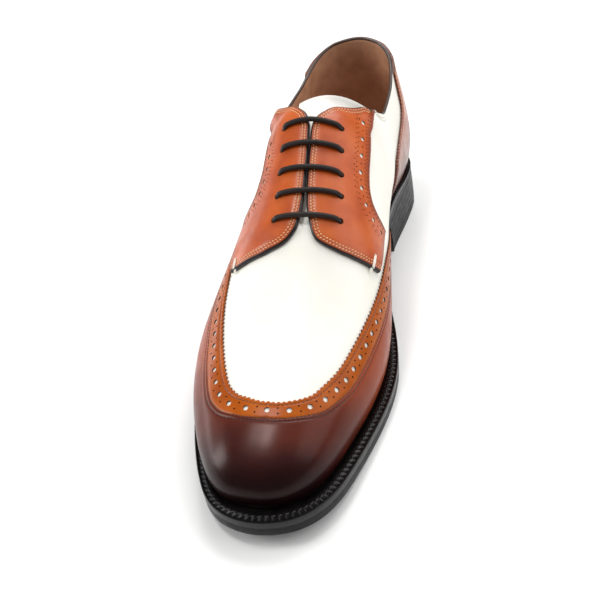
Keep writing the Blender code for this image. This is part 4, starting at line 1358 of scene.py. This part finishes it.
def sole_plan(inset):
    t = np.linspace(0, 1, SOLE_COLUMNS + 1)
    return between_edges([last.outline(side, t, inset(side, t))[0] for side in (-1, 1)], SOLE_ROWS)


def heel_plan(inset):
    fine = np.linspace(HEEL_SEARCH_START, 1.0, LINE_SAMPLES)
    edges = []
    for side in (-1, 1):
        along = last.outline(side, fine, np.zeros_like(fine))[0][:, 1]
        start = np.interp(-HEEL_BREAST, -along, fine)
        t = np.linspace(start, 1.0, HEEL_COLUMNS + 1)
        edges.append(last.outline(side, t, np.full_like(t, inset))[0])
    return between_edges(edges, SOLE_ROWS)


def layer_at(height):
    return lambda along: last.bottom(along) + height


def level_at(height):
    return lambda along: np.zeros_like(along) + height


def lift_at(share):
    """Height in the heel stack, from the top piece up to the outsole."""
    return lambda along: TOP_PIECE_THICKNESS + (last.bottom(along) - SEAM_GAP - TOP_PIECE_THICKNESS) * share


def outsole_top(along):
    """Upper side of the outsole, which is skived under the heel seat."""
    skived = HEEL_SKIVE * (1 - soft_step(along, *HEEL_SKIVE_ALONG))
    return last.bottom(along) + OUTSOLE_THICKNESS - skived


def edge_plan(u, inset):
    """Plan points of the sole's edge, moved in by the inset, at ribs counted negative on the lateral side."""
    t = np.abs(u)
    return np.where((u < 0)[:, None], last.outline(-1, t, inset)[0], last.outline(1, t, inset)[0])


def make_welt(black):
    """The stitched welt: a lip at the edge, a ridged band with its thread and a recess under the upper."""
    pitch = WELT_STITCH[0]
    fine = np.linspace(-1, 1, EDGE_PLAN_SAMPLES + 1)
    lengths = cumulative(edge_plan(fine, 0 * fine + WELT_COUNT_INSET))
    columns = int(lengths[-1] / pitch) * WELT_RIDGE_COLUMNS
    stops = np.linspace(0, lengths[-1], columns + 1)
    u = np.interp(stops, lengths, fine)
    t = np.abs(u)
    ridge = 0.5 + 0.5 * np.cos(2 * np.pi * np.arange(columns + 1) / WELT_RIDGE_COLUMNS)
    ledge = np.where(u < 0, last.column["ledge-1"](t), last.column["ledge1"](t))
    profile = list(WELT_LIP)
    band_end = WELT_BAND_SHARE * ledge + 1.0
    for share, swell in WELT_BAND_SWELL:
        across = WELT_BAND_START + (band_end - WELT_BAND_START) * share
        profile.append((across, WELT_BAND_HEIGHT + swell * ridge))
    for extra, height in WELT_STEPS:
        profile.append((np.minimum(band_end + extra, ledge + extra - WELT_STEP_GAP), height))
    profile.append((ledge + WELT_UNDERLAP, WELT_RECESS))
    profile.append((ledge + WELT_UNDERLAP, WELT_LIP[0][1]))
    profile.append(profile[0])
    thinned = 1 - WELT_THINNING * soft_step(t, *HEEL_SEAT)
    rows = []
    for inset, height in profile:
        plan = edge_plan(u, inset + 0 * t)
        rows.append(np.concatenate([plan, (outsole_top(plan[:, 1]) + thinned * height)[:, None]], axis=1))
    uv = stacked(stops[:, None], np.arange(len(rows))[None, :] * 1.0)
    mesh = ring_sheet("welt_strip", np.stack(rows, axis=1), uv, WELT)
    add_piece("welt_strip", mesh, ["welt"])
    plan = edge_plan(u, 0.5 * (WELT_BAND_START + band_end))
    height = outsole_top(plan[:, 1]) + WELT_BAND_HEIGHT + WELT_THREAD_LIFT
    line = placed(np.concatenate([plan, height[:, None]], axis=1))[t < HEEL_SEAT[0]]
    places, runs = walk(line, pitch * MM, 0.5 * pitch * MM)
    normals = np.tile([0.0, 0.0, 1.0], (len(places), 1))
    sew(black, places, normals, runs, WELT_STITCH, WELT_SLANT)


def make_sole():
    """Outsole, heel lifts, top piece and sock."""
    flush = sole_plan(lambda side, t: np.zeros_like(t))
    mesh = sole_layer("outsole_leather", flush, flush, layer_at(0.0), outsole_top, OUTSOLE_ROUNDING, SOLE)
    add_piece("outsole_leather", mesh, ["outsole"])
    sock = sole_plan(lambda side, t: last.column["ledge%d" % side](t) + WELT_UNDERLAP + SEAM_GAP)
    sock_bottom = layer_at(OUTSOLE_THICKNESS + SEAM_GAP)
    mesh = sole_layer("insole_sock", sock, sock, sock_bottom, layer_at(INSOLE_TOP), SOCK_ROUNDING, SOCK)
    add_piece("insole_sock", mesh, ["insole"])
    lifts = bmesh.new()
    for number in range(HEEL_LIFTS):
        low = number / HEEL_LIFTS
        high = (number + LIFT_SHARE) / HEEL_LIFTS
        plans = [heel_plan(HEEL_FLARE * (share - 1)) for share in (low, high)]
        mesh = sole_layer("heel_lift", *plans, lift_at(low), lift_at(high), LIFT_ROUNDING, SOLE)
        lifts.from_mesh(mesh)
        bpy.data.meshes.remove(mesh)
    mesh = to_mesh(lifts, "heel_lifts")
    mesh.materials.append(SOLE)
    add_piece("heel_lifts", mesh, ["heel_stack"])
    widest = heel_plan(-HEEL_FLARE)
    top = level_at(TOP_PIECE_THICKNESS - SEAM_GAP)
    mesh = sole_layer("heel_top", widest, widest, level_at(0.0), top, TOP_PIECE_ROUNDING, RUBBER)
    add_piece("heel_top", mesh, ["heel_top_piece"])


def make_bar_tacks(white):
    """Two short strands on each side that tie the flaps' lower front corners to the vamp."""
    for side, flap_t, flap_v, vamp_t, vamp_v in BAR_TACKS:
        t = flap_t + (vamp_t - flap_t) * BAR_TACK_BENDS
        v = flap_v + (vamp_v - flap_v) * BAR_TACK_BENDS
        bends = skin(side, t, v, BAR_TACK_HEIGHTS)
        out = last.normal(side, t, v).sum(axis=0)
        run = bends[-1] - bends[0]
        apart = np.cross(run, out) / np.linalg.norm(np.cross(run, out)) * BAR_TACK_WIDTH / 2
        for first, second in zip(bends[:-1], bends[1:]):
            length = BAR_TACK_OVERLAP * np.linalg.norm(second - first)
            places = placed(0.5 * (first + second) + np.array([[-1.0], [1.0]]) * apart)
            stitch = (0.0, length, BAR_TACK_WIDTH, BAR_TACK_WIDTH)
            runs = np.tile((second - first) * MIRROR, (2, 1))
            sew(white, places, np.tile(out * MIRROR, (2, 1)), runs, stitch)


def make_collar_stitches(white):
    """Two short rows of stitches on each side, below the collar's front end."""
    for side in (-1, 1):
        for first_t, first_v, last_t, last_v in COLLAR_ROWS:
            t = np.linspace(first_t, last_t, COLLAR_ROW_SAMPLES)
            v = np.linspace(first_v, last_v, COLLAR_ROW_SAMPLES)
            sew_row(white, side, t, v, COLLAR_ROW_OFFSETS, FACING_STITCH)


def make_shoe():
    stitches = {colour: [] for colour in THREADS}
    underlay = []
    make_upper()
    make_tongue()
    edge = WingEdge()
    make_wing(edge, underlay)
    wing_seams(edge, (stitches["russet"], stitches["brown"], stitches["brown"]))
    for side in (-1, 1):
        make_facing(side, stitches["cream"], stitches["brown"], underlay)
    make_counter(stitches["brown"])
    make_collar_binding()
    make_lace()
    make_welt(stitches["black"])
    make_sole()
    make_bar_tacks(stitches["white"])
    make_collar_stitches(stitches["white"])
    for colour, finish in THREADS.items():
        thread_piece("thread_" + colour, stitches[colour], finish)
    thread_piece("brogue_underlay", underlay, WHITE, rounds=12, slices=6)


# Half the floor's width, in metres
FLOOR_HALF = 4.0


def make_floor():
    finish = Finish("pale_floor", Roughness=0.6)
    finish.tint(400.0, 3.0, two_tone(linear(242, 242, 241), linear(246, 246, 245)))
    builder = bmesh.new()
    bmesh.ops.create_grid(builder, x_segments=1, y_segments=1, size=FLOOR_HALF)
    mesh = to_mesh(builder, "floor")
    mesh.materials.append(finish.material)
    floor = link("floor", mesh)


def soft_light(name, place, target, size, power):
    lamp = bpy.data.lights.new(name, "AREA")
    lamp.shape = "RECTANGLE"
    lamp.size, lamp.size_y = size
    lamp.energy = power
    light = link(name, lamp)
    light.location = place
    light.rotation_euler = (Vector(target) - Vector(place)).to_track_quat("-Z", "Y").to_euler()


def light_studio():
    """Broad overhead, soft boxes behind and on both sides, and a pale surround."""
    world = bpy.data.worlds.new("studio")
    world.use_nodes = True
    surround = world.node_tree.nodes["Background"]
    surround.inputs["Color"].default_value = (1.0, 1.0, 1.0, 1.0)
    surround.inputs["Strength"].default_value = 0.3
    bpy.context.scene.world = world
    aim = (0.0, 0.0, 0.05)
    soft_light("overhead", (0.0, 0.2, 2.0), aim, (2.4, 2.4), 7.0)
    soft_light("top_box", (-0.42, -0.05, 1.95), aim, (0.4, 0.3), 9.0)
    soft_light("side", (-1.5, 0.2, 0.2), aim, (1.2, 0.3), 5.0)
    soft_light("back", (0.15, 1.0, 1.5), aim, (1.2, 0.8), 18.0)
    soft_light("key", (-1.3, -0.32, 0.65), aim, (0.35, 0.7), 8.0)
    soft_light("fill", (1.2, 0.2, 0.9), aim, (1.2, 1.2), 9.0)
    bpy.context.scene.view_settings.view_transform = "Standard"


# The photograph's camera: place in table coordinates, heading and tilt. It is turned towards the shoe.
CAMERA_PLACE = (101.66, 472.59, 294.93)
CAMERA_HEADING = (-0.0823, 0.9966)
CAMERA_PITCH = np.radians(36.78)
CAMERA_TARGET = (-4.0, 178.0, 34.0)
CAMERA_LENS = 46.2


def set_camera():
    lens = bpy.data.cameras.new("camera")
    lens.lens = CAMERA_LENS
    camera = link("camera", lens)
    place = Vector(placed(CAMERA_PLACE))
    level = Vector((*CAMERA_HEADING, 0.0)).normalized()
    down = Vector((0.0, 0.0, -1.0))
    forward = level * np.cos(CAMERA_PITCH) + down * np.sin(CAMERA_PITCH)
    up = level * np.sin(CAMERA_PITCH) - down * np.cos(CAMERA_PITCH)
    aim = (Vector(placed(CAMERA_TARGET)) - place).normalized()
    turn = forward.rotation_difference(aim)
    up = turn @ up
    side = aim.cross(up)
    axes = Matrix((side, up, -aim)).transposed().to_4x4()
    axes.translation = place
    camera.matrix_world = axes
    bpy.context.scene.camera = camera


make_shoe()
make_floor()
light_studio()
set_camera()
bpy.context.view_layer.update()
